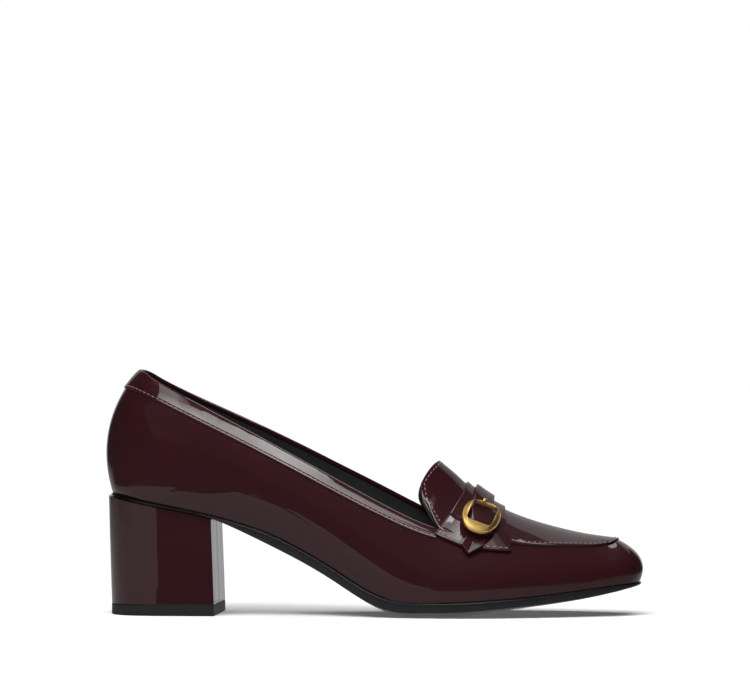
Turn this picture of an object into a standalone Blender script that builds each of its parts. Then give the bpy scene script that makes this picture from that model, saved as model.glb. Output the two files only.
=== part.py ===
"""Right-foot block-heel loafer pump: a hollow upper on a thin sole, with a buckled saddle strap.

Tables are in millimetres on the sample last: x runs from the back of the heel to the toe, the lateral side
is at -y, and z is up from the floor.  The meshes are in metres.
"""

from collections import namedtuple

import bmesh
import bpy
import numpy as np

MM = 0.001

# Driving sizes of the shoe: overall length, width of the feather line at the ball, tongue and seat heights
SHOE_LENGTH = 249.4
BALL_WIDTH = 75.1
INSTEP_HEIGHT = 70.1
HEEL_HEIGHT = 56.0

# The same sizes on the sample last that the tables are drawn for
SAMPLE_LENGTH = 249.4
SAMPLE_BALL_WIDTH = 75.1
SAMPLE_INSTEP_HEIGHT = 70.1
SAMPLE_HEEL_HEIGHT = 56.0

# Leather, sole and clearances
WALL = 1.4
APRON_STEP = 1.0
STRAP_THICKNESS = 1.2
BELT_THICKNESS = 1.3
BINDING_THICKNESS = 0.6
BINDING_INSIDE_LAP = 3.0
INSOLE_THICKNESS = 1.8
WELT = 0.8
CROWN_FADE_WIDTH = 24.0
GAP = 0.3

# Block heel
HEEL_BACK = 0.6
HEEL_BREAST = 50.2
HEEL_LEAN = 1.0
HEEL_HALF_WIDTH = 25.2
HEEL_ROUND_LENGTH = 25.0
HEEL_ROUNDNESS = 2.3
TOP_PIECE_HEIGHT = 5.0

# Front ends of the collar binding along the shoe, and how the strap hangs over the seams
BINDING_FRONT_LATERAL = 153.6
BINDING_FRONT_MEDIAL = 147.0
STRAP_SIDE_DROP = 4.0
STRAP_REAR_FLARE = 2.0

# Buckle, seen flat: along is up the strap, across is towards the toe
BUCKLE_LENGTH = 24.2
BUCKLE_WIDTH = 17.6
BUCKLE_WINDOW_LENGTH = 16.0
BUCKLE_WINDOW_WIDTH = 12.2
BUCKLE_WINDOW_SHIFT = 2.1
BUCKLE_RIM_HEIGHT = 2.0
BUCKLE_DISH_HEIGHT = 1.1
BUCKLE_CLEARANCE = 0.8
BUCKLE_SIDE = -0.785
BUCKLE_BEND_RADIUS = 120.0
BUCKLE_ROW = 0.52
BUCKLE_TURN = 0.10
PRONG_WIDTH = 1.9
PRONG_SHIFT = -1.3
PRONG_THICKNESS = 0.6

# Seat: height of the feather line, sole thickness at its edge, and how far its middle hangs lower
Seat = namedtuple("Seat", "x height thickness crown")
SEATS = [
    Seat(0.0, 56.5, 1.4, 0.0),
    Seat(28.0, 51.0, 1.4, 0.0),
    Seat(50.0, 46.4, 1.6, 0.0),
    Seat(62.0, 43.2, 3.0, 0.1),
    Seat(76.0, 38.6, 4.9, 0.2),
    Seat(92.0, 30.9, 5.3, 0.3),
    Seat(107.0, 22.3, 5.3, 0.5),
    Seat(123.0, 12.6, 5.3, 1.1),
    Seat(137.0, 7.6, 4.9, 2.3),
    Seat(150.0, 7.0, 4.6, 3.2),
    Seat(166.0, 7.3, 4.5, 3.2),
    Seat(182.0, 8.3, 4.2, 2.8),
    Seat(200.0, 9.8, 3.9, 2.2),
    Seat(225.0, 12.8, 3.6, 1.4),
    Seat(239.0, 14.5, 2.5, 0.5),
    Seat(249.0, 15.4, 0.9, 0.0),
]

# One side of one section: half width at the feather, how far the wall's top edge lies inside it, the height
# of that edge, and how far the lower and upper wall swell
Side = namedtuple("Side", "width inset top low high")
HEEL_CENTRE = (2.4, 0.0, Side(0.0, 12.0, 112.6, 10.1, 11.8))
TOE_CENTRE = (247.4, 4.4, Side(0.0, 9.6, 33.8, 6.0, 8.6))
Section = namedtuple("Section", "x lateral medial")
SECTIONS = [
    Section(8.0, Side(15.9, 11.2, 112.0, 9.2, 10.6), Side(15.9, 11.2, 112.0, 9.2, 10.6)),
    Section(16.0, Side(22.6, 9.2, 109.9, 8.1, 8.2), Side(22.6, 9.2, 109.0, 8.1, 8.2)),
    Section(28.0, Side(25.8, 7.6, 105.1, 7.2, 6.8), Side(25.8, 7.6, 104.0, 7.2, 6.8)),
    Section(50.0, Side(25.6, 5.6, 94.1, 7.4, 6.2), Side(25.2, 5.0, 94.5, 7.4, 6.2)),
    Section(75.0, Side(24.8, 3.8, 80.7, 7.5, 6.0), Side(21.6, 0.8, 83.2, 7.5, 6.0)),
    Section(100.0, Side(26.5, 3.4, 66.7, 7.2, 5.8), Side(19.2, -2.8, 70.6, 7.4, 5.8)),
    Section(125.0, Side(32.5, 5.6, 52.9, 6.0, 5.0), Side(23.0, -1.4, 57.7, 6.0, 5.0)),
    Section(150.0, Side(38.8, 8.0, 42.2, 4.6, 4.0), Side(31.4, 4.0, 44.8, 4.4, 4.0)),
    Section(165.0, Side(39.8, 8.6, 38.6, 5.4, 3.6), Side(35.8, 6.8, 40.0, 5.2, 3.8)),
    Section(180.0, Side(38.3, 8.8, 36.2, 6.2, 3.4), Side(37.8, 8.2, 37.3, 6.2, 3.5)),
    Section(200.0, Side(32.8, 8.2, 34.4, 6.4, 3.1), Side(36.3, 8.2, 35.0, 6.4, 3.2)),
    Section(220.0, Side(24.5, 8.0, 33.2, 5.4, 3.6), Side(31.4, 8.0, 33.5, 5.4, 3.6)),
    Section(235.0, Side(17.3, 9.0, 32.7, 5.6, 5.6), Side(25.2, 9.0, 32.9, 5.6, 5.6)),
    Section(242.8, Side(12.4, 9.4, 33.0, 5.9, 7.6), Side(20.7, 9.4, 33.1, 5.9, 7.6)),
]

# Apron rows from the toe to the throat: where the row meets the seam on each side, the crest between, and
# how round the arch is (small is a sharp ridge)
Apron = namedtuple("Apron", "name lateral_x medial_x crest_x crest_y crest_z roundness")
APRON_ROWS = [
    Apron("toe edge", 235.0, 235.0, 237.8, 4.4, 33.8, 1.6),
    Apron("toe", 222.0, 222.0, 225.0, 4.4, 35.8, 1.4),
    Apron("vamp", 206.0, 205.0, 207.0, 4.0, 40.0, 1.0),
    Apron("strap front", 187.8, 184.6, 184.2, 3.0, 48.0, 0.8),
    Apron("throat", 157.0, 152.0, 166.6, 1.6, 59.7, 0.8),
]
# Tongue rows above the throat: free edges on both sides of the crest
Point = namedtuple("Point", "x y z")
Tongue = namedtuple("Tongue", "lateral crest medial roundness")
TONGUE_ROWS = [
    Tongue(Point(151.8, -25.9, 48.4), Point(162.4, 1.2, 63.3), Point(146.4, 23.4, 49.6), 0.8),
    Tongue(Point(148.6, -22.0, 53.6), Point(158.1, 0.7, 66.9), Point(144.2, 20.6, 55.2), 0.85),
    Tongue(Point(147.2, -18.4, 58.4), Point(154.2, 0.2, 70.1), Point(145.0, 17.9, 60.4), 0.9),
]

# Belt edges as shares of the strap's width from its front edge, at places across the strap
# (-1 and 1 are the seams)
BeltEdge = namedtuple("BeltEdge", "side front rear")
BELT_EDGES = [
    BeltEdge(-2.0, 0.42, 0.69),
    BeltEdge(-1.0, 0.335, 0.66),
    BeltEdge(0.0, 0.32, 0.81),
    BeltEdge(1.0, 0.335, 0.66),
    BeltEdge(2.0, 0.36, 0.64),
]
# The belt's pointed lateral end: place across it from its front edge, and how far it hangs below the seam
BeltEnd = namedtuple("BeltEnd", "across drop")
BELT_ENDS = [BeltEnd(0.0, 4.4), BeltEnd(0.35, 6.7), BeltEnd(0.7, 9.1), BeltEnd(1.0, 5.0)]
BELT_DROP_MEDIAL = 3.4

# Mesh fineness
COLLAR_STEPS = 25
SEAM_STEPS = 18
TONGUE_STEPS = 7
TOE_STEPS = 14
OUTER_LEVELS = np.array([0.0, 0.05, 0.11, 0.18, 0.27, 0.38, 0.5, 0.63, 0.76, 0.88, 1.0])
INNER_LEVELS = np.array([0.0, 0.12, 0.27, 0.45, 0.65, 0.83, 1.0])
SOLE_ROWS = 56
SOLE_COLUMNS = 8
INSOLE_ROWS = 34
INSOLE_COLUMNS = 4
HEEL_ROUND_STEPS = 12
HEEL_FLAT_STEPS = 4
HEEL_COLUMNS = 4
BUCKLE_STEPS = 44
SMALL = 1e-3


def spline(knots, values, closed=False):
    """Cubic spline through a row of values at each knot; a closed one repeats after its last knot."""
    knots = np.asarray(knots, float)
    values = np.asarray(values, float)
    step = np.diff(knots)[:, None]
    rise = np.diff(values, axis=0) / step
    last = len(knots) - 1
    matrix = np.eye(last + 1)
    right = np.zeros_like(values)
    for i in range(1, last):
        matrix[i, i - 1 : i + 2] = step[i - 1, 0], 2 * (step[i - 1, 0] + step[i, 0]), step[i, 0]
        right[i] = 6 * (rise[i] - rise[i - 1])
    if closed:
        matrix[0, [last - 1, 0, 1]] = step[-1, 0], 2 * (step[-1, 0] + step[0, 0]), step[0, 0]
        right[0] = 6 * (rise[0] - rise[-1])
        matrix[last, [0, last]] = -1.0, 1.0
    bend = np.linalg.solve(matrix, right)

    def value(at):
        at = np.asarray(at, float)
        if closed:
            at = np.mod(at, knots[-1])
        i = np.clip(np.searchsorted(knots, at, side="right") - 1, 0, last - 1)
        h = step[i]
        a = (knots[i + 1] - at)[..., None]
        b = (at - knots[i])[..., None]
        curve = (bend[i] * a**3 + bend[i + 1] * b**3) / (6 * h)
        return curve + (values[i] / h - bend[i] * h / 6) * a + (values[i + 1] / h - bend[i + 1] * h / 6) * b

    return value


def unit(vectors):
    return vectors / np.linalg.norm(vectors, axis=-1, keepdims=True)


def chord_knots(points):
    """Distance run along a row of points."""
    return np.concatenate([[0.0], np.cumsum(np.linalg.norm(np.diff(points, axis=0), axis=1))])


# Grading from the sample last to the driving sizes
LENGTH_GRADE = SHOE_LENGTH / SAMPLE_LENGTH
WIDTH_GRADE = BALL_WIDTH / SAMPLE_BALL_WIDTH
INSTEP_GRADE = INSTEP_HEIGHT / SAMPLE_INSTEP_HEIGHT
HEEL_GRADE = HEEL_HEIGHT / SAMPLE_HEEL_HEIGHT


def graded(x, y, z):
    return np.array([x * LENGTH_GRADE, y * WIDTH_GRADE, z * INSTEP_GRADE])


seat_table = spline(
    [row.x * LENGTH_GRADE for row in SEATS],
    [(row.height * HEEL_GRADE, row.thickness, row.crown) for row in SEATS],
)


def loop_row(x, y, side):
    return (x * LENGTH_GRADE, y * WIDTH_GRADE, side.inset, side.top * INSTEP_GRADE, side.low, side.high)


def section_loop():
    """Knots and rows round the last: heel centre, lateral side, toe centre, medial side, heel centre."""
    lateral = [loop_row(row.x, -row.lateral.width, row.lateral) for row in SECTIONS]
    medial = [loop_row(row.x, row.medial.width, row.medial) for row in reversed(SECTIONS)]
    heel = loop_row(*HEEL_CENTRE)
    rows = np.array([heel, *lateral, loop_row(*TOE_CENTRE), *medial, heel])
    return chord_knots(rows[:, :2]), rows


loop_knots, loop_rows = section_loop()
loop = spline(loop_knots, loop_rows, closed=True)
LOOP_LENGTH = loop_knots[-1]
TOE_AT = loop_knots[len(SECTIONS) + 1]


def outline(at, outward=0.0):
    """Feather line seen from above, moved outward, with its outward direction."""
    plan = loop(at)[..., :2]
    along = unit(loop(np.asarray(at) + SMALL)[..., :2] - loop(np.asarray(at) - SMALL)[..., :2])
    away = np.stack([along[..., 1], -along[..., 0]], axis=-1)
    return plan + outward * away, away


def wall(at, level, lift=0.0):
    """Point of the upper's wall, 0 at the feather to 1 at its top edge, lifted along the surface normal."""
    at, level = np.broadcast_arrays(np.asarray(at, float), np.asarray(level, float))
    plan, away = outline(at)
    inset, top, low, high = np.moveaxis(loop(at)[..., 2:], -1, 0)
    base = seat_table(plan[..., 0])[..., 0]
    height = top - base
    rest = 1 - level
    swell = -inset * level + 3 * level * rest**2 * low + 3 * level**2 * rest * high
    slope = -inset + 3 * low * rest * (1 - 3 * level) + 3 * high * level * (2 - 3 * level)
    point = np.concatenate([plan + swell[..., None] * away, (base + height * level)[..., None]], axis=-1)
    normal = unit(np.concatenate([height[..., None] * away, -slope[..., None]], axis=-1))
    return point + lift * normal, normal


def seam_finder():
    """Loop position of the wall's top edge at a place along the shoe, for each side."""
    lateral = np.linspace(loop_knots[5], TOE_AT, 400)
    medial = np.linspace(LOOP_LENGTH - loop_knots[5], TOE_AT, 400)
    lateral_x = wall(lateral, 1.0)[0][:, 0]
    medial_x = wall(medial, 1.0)[0][:, 0]

    def find(x, medial_side):
        if medial_side:
            return np.interp(x, medial_x, medial)
        return np.interp(x, lateral_x, lateral)

    return find


seam_at = seam_finder()


def apron_tables():
    """Splines over the apron's crest length: seam positions and roundness, crest, and the tongue's edges."""
    crest = np.array(
        [graded(row.crest_x, row.crest_y, row.crest_z) for row in APRON_ROWS]
        + [graded(*row.crest) for row in TONGUE_ROWS]
    )
    knots = chord_knots(crest)
    seam_rows = [(row.lateral_x * LENGTH_GRADE, row.medial_x * LENGTH_GRADE) for row in APRON_ROWS]
    count = len(APRON_ROWS)
    rounds = [(row.roundness,) for row in [*APRON_ROWS, *TONGUE_ROWS]]
    throat = APRON_ROWS[-1]
    edges = []
    for start, medial_side in ((throat.lateral_x, False), (throat.medial_x, True)):
        first = wall(seam_at(start * LENGTH_GRADE, medial_side), 1.0)[0]
        free = [graded(*(row.medial if medial_side else row.lateral)) for row in TONGUE_ROWS]
        edges.append(spline(knots[count - 1 :], np.array([first, *free])))
    return knots, spline(knots[:count], seam_rows), spline(knots, crest), spline(knots, rounds), edges


apron_knots, apron_seam, apron_crest, apron_round, tongue_edges = apron_tables()
STRAP_FRONT_AT = apron_knots[3]
THROAT_AT = apron_knots[4]
TONGUE_AT = apron_knots[-1]


def apron_edge(row, medial_side):
    """Edge of an apron row: on the wall's seam up to the throat, then the tongue's own edge."""
    side = 1 if medial_side else 0
    seam_row = np.minimum(row, THROAT_AT)
    seam = wall(seam_at(apron_seam(seam_row)[..., side], medial_side), 1.0)[0]
    free = tongue_edges[side](np.maximum(row, THROAT_AT))
    return np.where((row > THROAT_AT)[..., None], free, seam)


def arch(row, side):
    """Apron and tongue surface: a rounded arch from the lateral edge (-1) over the crest to the medial (1)."""
    row, side = np.broadcast_arrays(np.asarray(row, float), np.asarray(side, float))
    left = apron_edge(row, False)
    right = apron_edge(row, True)
    middle = (left + right) / 2
    sharp = apron_round(row)[..., 0]
    fall = (np.sqrt(1 + (side / sharp) ** 2) - 1) / (np.sqrt(1 + 1 / sharp**2) - 1)
    return middle + side[..., None] * (right - left) / 2 + (apron_crest(row) - middle) * (1 - fall)[..., None]


def arch_normal(row, side):
    row, side = np.broadcast_arrays(np.asarray(row, float), np.asarray(side, float))
    step = 0.05
    low_row = np.clip(row - step, 0.0, TONGUE_AT)
    high_row = np.clip(row + step, 0.0, TONGUE_AT)
    across = arch(row, side + step) - arch(row, side - step)
    along = arch(high_row, side) - arch(low_row, side)
    return unit(np.cross(across, along))


def overlay(share, side, drop, lift):
    """Point above the vamp: share runs from the strap's front edge to its rear, side across it, and past a
    seam (beyond -1 or 1) the point goes down the wall by its share of drop."""
    share, side, drop, lift = np.broadcast_arrays(share, side, drop, lift)
    row = STRAP_FRONT_AT + share * (THROAT_AT - STRAP_FRONT_AT)
    past = np.clip(np.abs(side) - 1, 0.0, 1.0)
    inner = np.clip(side, -1.0, 1.0)
    on_apron = arch(row, inner) + (APRON_STEP + lift)[..., None] * arch_normal(row, inner)
    on_wall = np.empty_like(on_apron)
    for medial_side in (False, True):
        seam_x = apron_seam(row)[..., int(medial_side)] - STRAP_REAR_FLARE * share * past
        at = seam_at(seam_x, medial_side)
        height = wall(at, 1.0)[0][..., 2] - wall(at, 0.0)[0][..., 2]
        point, normal = wall(at, 1 - past * drop / height)
        chosen = side > 0 if medial_side else side <= 0
        raised = APRON_STEP * (1 - past) ** 2 + lift
        on_wall[chosen] = (point + raised[..., None] * normal)[chosen]
    blend = np.clip(past * 4, 0.0, 1.0)[..., None]
    return on_apron * (1 - blend) + on_wall * blend


# Materials and meshes
def finish(name, colour, roughness, metallic=0.0):
    material = bpy.data.materials.new(name)
    material.use_nodes = True
    shader = material.node_tree.nodes["Principled BSDF"]
    shader.inputs["Base Color"].default_value = (*colour, 1.0)
    shader.inputs["Roughness"].default_value = roughness
    shader.inputs["Metallic"].default_value = metallic
    material.diffuse_color = (*colour, 1.0)
    return material


def add_solid(name, points, faces, material, parent):
    """One closed body from points in millimetres; points that meet are merged."""
    work = bmesh.new()
    corners = [work.verts.new(np.asarray(point) * MM) for point in points]
    for face in faces:
        work.faces.new([corners[i] for i in face])
    bmesh.ops.remove_doubles(work, verts=work.verts[:], dist=1e-7)
    bmesh.ops.dissolve_degenerate(work, edges=work.edges[:], dist=1e-7)
    bmesh.ops.recalc_face_normals(work, faces=work.faces[:])
    for face in work.faces:
        face.smooth = True
    mesh = bpy.data.meshes.new(name)
    work.to_mesh(mesh)
    work.free()
    mesh.set_sharp_from_angle(angle=0.7)
    mesh.materials.append(material)
    made = bpy.data.objects.new(name, mesh)
    made.parent = parent
    bpy.context.scene.collection.objects.link(made)
    return made


def quads(index, wrap=False):
    """Quads over a grid of point numbers; wrap joins the last row to the first."""
    rows = len(index) if wrap else len(index) - 1
    found = []
    for i in range(rows):
        upper = index[(i + 1) % len(index)]
        lower = index[i]
        found += [(lower[j], upper[j], upper[j + 1], lower[j + 1]) for j in range(len(lower) - 1)]
    return found


def add_slab(name, low, high, material, parent):
    """Closed body between two grids of points of the same size."""
    rows, columns = low.shape[:2]
    first = np.arange(rows * columns).reshape(rows, columns)
    second = first + rows * columns
    rim = [first[0, :], first[1:, -1], first[-1, -2::-1], first[-2::-1, 0]]
    rim = np.concatenate(rim)
    band = np.stack([rim, rim + rows * columns], axis=1)
    faces = quads(first) + quads(second) + quads(band)
    points = np.concatenate([low.reshape(-1, 3), high.reshape(-1, 3)])
    return add_solid(name, points, faces, material, parent)


# Pieces
def add_upper(material, parent):
    rows_to_throat = np.linspace(0.0, THROAT_AT, SEAM_STEPS + 1)
    rows = np.concatenate([rows_to_throat, np.linspace(THROAT_AT, TONGUE_AT, TONGUE_STEPS + 1)[1:]])
    lateral = seam_at(apron_seam(rows_to_throat)[:, 0], False)
    medial = seam_at(apron_seam(rows_to_throat)[:, 1], True)
    toe = np.linspace(lateral[0], medial[0], TOE_STEPS + 1)
    ring = np.concatenate(
        [
            np.linspace(0.0, lateral[-1], COLLAR_STEPS + 1)[:-1],
            lateral[::-1],
            toe[1:-1],
            medial,
            np.linspace(medial[-1], LOOP_LENGTH, COLLAR_STEPS + 1)[1:-1],
        ]
    )
    lateral_throat = COLLAR_STEPS
    lateral_corner = COLLAR_STEPS + SEAM_STEPS
    medial_corner = lateral_corner + TOE_STEPS
    medial_throat = medial_corner + SEAM_STEPS

    outer, normal = wall(ring[:, None], OUTER_LEVELS[None, :])
    inner, inner_normal = wall(ring[:, None], INNER_LEVELS[None, :])
    inner_normal[:, 0] = np.concatenate([outline(ring)[1], np.zeros((len(ring), 1))], axis=1)
    inner = inner - WALL * inner_normal

    sides = np.linspace(-1.0, 1.0, TOE_STEPS + 1)
    base = arch(rows[:, None], sides[None, :])
    base[0] = wall(toe, 1.0)[0]
    upright = arch_normal(rows[:, None], sides[None, :])
    apron = base + APRON_STEP * upright
    lining = base - WALL * upright
    seam_rows = np.arange(SEAM_STEPS + 1)
    lining[seam_rows, 0] = inner[lateral_corner - seam_rows, -1]
    lining[seam_rows, -1] = inner[medial_corner + seam_rows, -1]
    lining[0] = inner[lateral_corner : medial_corner + 1, -1]

    grids = [outer, inner, apron, lining]
    starts = np.cumsum([0] + [grid.shape[0] * grid.shape[1] for grid in grids])
    numbers = [np.arange(grid.shape[0] * grid.shape[1]).reshape(grid.shape[:2]) for grid in grids]
    outer_i, inner_i, apron_i, lining_i = [number + start for number, start in zip(numbers, starts)]

    faces = quads(outer_i, wrap=True) + quads(inner_i, wrap=True) + quads(apron_i) + quads(lining_i)
    faces += quads(np.stack([outer_i[:, 0], inner_i[:, 0]], axis=1), wrap=True)
    collar = np.concatenate([np.arange(medial_throat, len(ring)), np.arange(lateral_throat + 1)])
    faces += quads(np.stack([outer_i[collar, -1], inner_i[collar, -1]], axis=1))
    seam = np.arange(lateral_throat, medial_throat + 1)
    lip = np.concatenate([apron_i[seam_rows[::-1], 0], apron_i[0, 1:-1], apron_i[seam_rows, -1]])
    faces += quads(np.stack([outer_i[seam, -1], lip], axis=1))
    free = np.arange(SEAM_STEPS, len(rows))
    rim = [(free, np.zeros_like(free)), (np.full(TOE_STEPS + 1, free[-1]), np.arange(TOE_STEPS + 1))]
    rim.append((free, np.full_like(free, TOE_STEPS)))
    for row, column in rim:
        faces += quads(np.stack([apron_i[row, column], lining_i[row, column]], axis=1))
    for ring_place, column in ((lateral_throat, 0), (medial_throat, TOE_STEPS)):
        faces.append((outer_i[ring_place, -1], apron_i[SEAM_STEPS, column], inner_i[ring_place, -1]))
    points = np.concatenate([grid.reshape(-1, 3) for grid in grids])
    return add_solid("upper", points, faces, material, parent)


def add_collar_binding(material, parent):
    """Folded band: up the outside of the wall, over its edge and a little way down inside."""
    front = seam_at(BINDING_FRONT_LATERAL * LENGTH_GRADE, False)
    back = seam_at(BINDING_FRONT_MEDIAL * LENGTH_GRADE, True)
    places = np.linspace(back - LOOP_LENGTH, front, 2 * COLLAR_STEPS - 5)
    edge, normal = wall(places, 1.0)
    height = edge[:, 2] - wall(places, 0.0)[0][:, 2]
    width = np.interp(edge[:, 0], [15.0, 45.0, 90.0, 154.0], [8.8, 8.2, 6.6, 4.8])
    upward = unit(edge - wall(places, 1 - SMALL)[0])
    spots = []
    for share in (1.0, 0.66, 0.33, 0.0):
        spots.append(wall(places, 1 - share * width / height))
    middle = edge - normal * WALL / 2
    for angle in np.radians([50.0, 90.0, 130.0]):
        turned = np.cos(angle) * normal + np.sin(angle) * upward
        spots.append((middle + turned * WALL / 2, turned))
    for share in (0.0, 1.0):
        point, outward = wall(places, 1 - share * BINDING_INSIDE_LAP / height)
        spots.append((point - WALL * outward, -outward))
    low = np.stack([point + GAP * outward for point, outward in spots], axis=1)
    high = np.stack([point + (GAP + BINDING_THICKNESS) * outward for point, outward in spots], axis=1)
    return add_slab("collar_binding", low, high, material, parent)


def add_saddle_strap(material, parent):
    share = np.linspace(0.0, 1.0, 7)[:, None]
    side = np.concatenate([np.linspace(-2, -1, 4), np.linspace(-1, 1, 17)[1:-1], np.linspace(1, 2, 4)])[None, :]
    low = overlay(share, side, STRAP_SIDE_DROP, GAP)
    high = overlay(share, side, STRAP_SIDE_DROP, GAP + STRAP_THICKNESS)
    return add_slab("saddle_strap", low, high, material, parent)


def belt_share(side, across):
    """Place on the strap's width for a point across the belt (0 front edge, 1 rear edge)."""
    table = spline([row.side for row in BELT_EDGES], [(row.front, row.rear) for row in BELT_EDGES])
    front, rear = np.moveaxis(table(side), -1, 0)
    return front + across * (rear - front)


def add_belt(material, parent):
    across = np.array([[end.across] for end in BELT_ENDS])
    lateral_drop = np.array([[end.drop] for end in BELT_ENDS])
    side = np.concatenate([np.linspace(-2, -1, 6), np.linspace(-1, 1, 17)[1:-1], np.linspace(1, 2, 4)])[None, :]
    drop = np.where(side < 0, lateral_drop, BELT_DROP_MEDIAL)
    share = belt_share(side, across)
    under = GAP + STRAP_THICKNESS + GAP
    low = overlay(share, side, drop, under)
    high = overlay(share, side, drop, under + BELT_THICKNESS)
    return add_slab("belt", low, high, material, parent)


def buckle_place():
    """Centre of the buckle on the belt, and its directions up the strap, towards the toe and out."""
    lift = GAP + STRAP_THICKNESS + GAP + BELT_THICKNESS + BUCKLE_CLEARANCE
    step = 0.1

    def spot(share, side):
        return overlay(share, side, STRAP_SIDE_DROP, lift)

    rise = spot(BUCKLE_ROW, BUCKLE_SIDE + step) - spot(BUCKLE_ROW, BUCKLE_SIDE - step)
    forward = spot(BUCKLE_ROW - step, BUCKLE_SIDE) - spot(BUCKLE_ROW + step, BUCKLE_SIDE)
    up = unit(rise)
    out = unit(np.cross(forward, rise))
    toward_toe = np.cross(up, out)
    turned_up = np.cos(BUCKLE_TURN) * up + np.sin(BUCKLE_TURN) * toward_toe
    return spot(BUCKLE_ROW, BUCKLE_SIDE), turned_up, np.cross(turned_up, out), out


def on_buckle(along, across, height):
    """Place a point of the flat buckle on the belt, bent a little round the vamp."""
    centre, up, toward_toe, out = buckle_place()
    angle = along / BUCKLE_BEND_RADIUS
    radius = BUCKLE_BEND_RADIUS + height
    run = (radius * np.sin(angle))[..., None]
    rise = (radius * np.cos(angle) - BUCKLE_BEND_RADIUS)[..., None]
    return centre + run * up + across[..., None] * toward_toe + rise * out


def rounded(angle, half_along, half_across, power):
    """Rounded rectangle that nears an ellipse as power falls to 2."""
    c, s = np.cos(angle), np.sin(angle)
    radius = (np.abs(c) ** power + np.abs(s) ** power) ** (-1 / power)
    return radius * c * half_along, radius * s * half_across


def add_buckle(material, parent):
    """Oval plate with a square window, its face dished between a raised rim and the window."""
    angle = np.linspace(0.0, 2 * np.pi, BUCKLE_STEPS, endpoint=False)
    outer = rounded(angle, BUCKLE_LENGTH / 2, BUCKLE_WIDTH / 2, 2.2)
    window = rounded(angle, BUCKLE_WINDOW_LENGTH / 2, BUCKLE_WINDOW_WIDTH / 2, 5.0)
    window = (window[0] + BUCKLE_WINDOW_SHIFT, window[1])
    profile = [
        (0.0, 0.0),
        (0.96, 0.0),
        (1.0, 0.5 * BUCKLE_RIM_HEIGHT),
        (0.94, BUCKLE_RIM_HEIGHT),
        (0.74, BUCKLE_RIM_HEIGHT - 0.3),
        (0.5, BUCKLE_DISH_HEIGHT),
        (0.06, BUCKLE_DISH_HEIGHT),
        (0.0, 0.7 * BUCKLE_DISH_HEIGHT),
    ]
    rows = []
    for share, height in profile:
        along = window[0] + share * (outer[0] - window[0])
        across = window[1] + share * (outer[1] - window[1])
        rows.append(on_buckle(along, across, np.full(BUCKLE_STEPS, height)))
    grid = np.stack(rows, axis=1)
    index = np.arange(grid.shape[0] * grid.shape[1]).reshape(grid.shape[:2])
    index = np.concatenate([index, index[:, :1]], axis=1)
    return add_solid("buckle", grid.reshape(-1, 3), quads(index, wrap=True), material, parent)


def add_buckle_prong(material, parent):
    """Small knuckle that comes up through the window and hooks over the buckle's top bar."""
    outer_end = BUCKLE_LENGTH / 2
    inner_end = BUCKLE_WINDOW_SHIFT + BUCKLE_WINDOW_LENGTH / 2 - GAP
    foot = GAP - BUCKLE_CLEARANCE
    clear = BUCKLE_RIM_HEIGHT + GAP
    middle = (inner_end + outer_end) / 2
    inside = [(inner_end, foot), (inner_end, clear), (middle, clear + 0.1), (outer_end - 0.4, clear)]
    outside = [
        (inner_end - PRONG_THICKNESS, foot),
        (inner_end - PRONG_THICKNESS, clear + 0.3),
        (middle, clear + 0.1 + PRONG_THICKNESS),
        (outer_end - 0.1, clear + 0.3),
    ]
    across = PRONG_SHIFT + np.array([-0.5, 0.5])[:, None] * PRONG_WIDTH
    along_in, height_in = np.array(inside).T
    along_out, height_out = np.array(outside).T
    low = on_buckle(*np.broadcast_arrays(along_in, across, height_in))
    high = on_buckle(*np.broadcast_arrays(along_out, across, height_out))
    return add_slab("buckle_prong", low, high, material, parent)


def sole_rows(count, outward):
    """Plan rows across the shoe from the heel to the toe, between the two sides of the moved outline."""
    places = TOE_AT * (1 - np.cos(np.linspace(0.0, np.pi, count))) / 2
    medial_scale = (LOOP_LENGTH - TOE_AT) / TOE_AT
    lateral = outline(places, outward)[0]
    medial = outline(LOOP_LENGTH - places * medial_scale, outward)[0]
    return lateral, medial


def sole_grid(count, columns, outward, height):
    """Grid across the shoe; height gives z from the seat row and the bulge, 0 at the edges and the ends."""
    lateral, medial = sole_rows(count, outward)
    across = np.linspace(-1.0, 1.0, columns + 1)
    share = ((across + 1) / 2)[None, :, None]
    plan = lateral[:, None] * (1 - share) + medial[:, None] * share
    width = np.linalg.norm(medial - lateral, axis=1)
    bulge = (1 - across**4)[None, :] * np.clip(width / CROWN_FADE_WIDTH, 0.0, 1.0)[:, None]
    z = height(seat_table(plan[..., 0]), bulge)
    return np.concatenate([plan, z[..., None]], axis=-1)


def add_outsole(material, parent):
    def top(seat, bulge):
        return seat[..., 0] - GAP

    def bottom(seat, bulge):
        return np.maximum(seat[..., 0] - seat[..., 1] - seat[..., 2] * bulge, 0.0)

    low = sole_grid(SOLE_ROWS, SOLE_COLUMNS, WELT - 0.4, bottom)
    high = sole_grid(SOLE_ROWS, SOLE_COLUMNS, WELT, top)
    return add_slab("outsole", low, high, material, parent)


def add_insole(material, parent):
    def bottom(seat, bulge):
        return seat[..., 0]

    def top(seat, bulge):
        return seat[..., 0] + INSOLE_THICKNESS

    inside = -(WALL + GAP)
    low = sole_grid(INSOLE_ROWS, INSOLE_COLUMNS, inside, bottom)
    high = sole_grid(INSOLE_ROWS, INSOLE_COLUMNS, inside, top)
    return add_slab("insole", low, high, material, parent)


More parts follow.
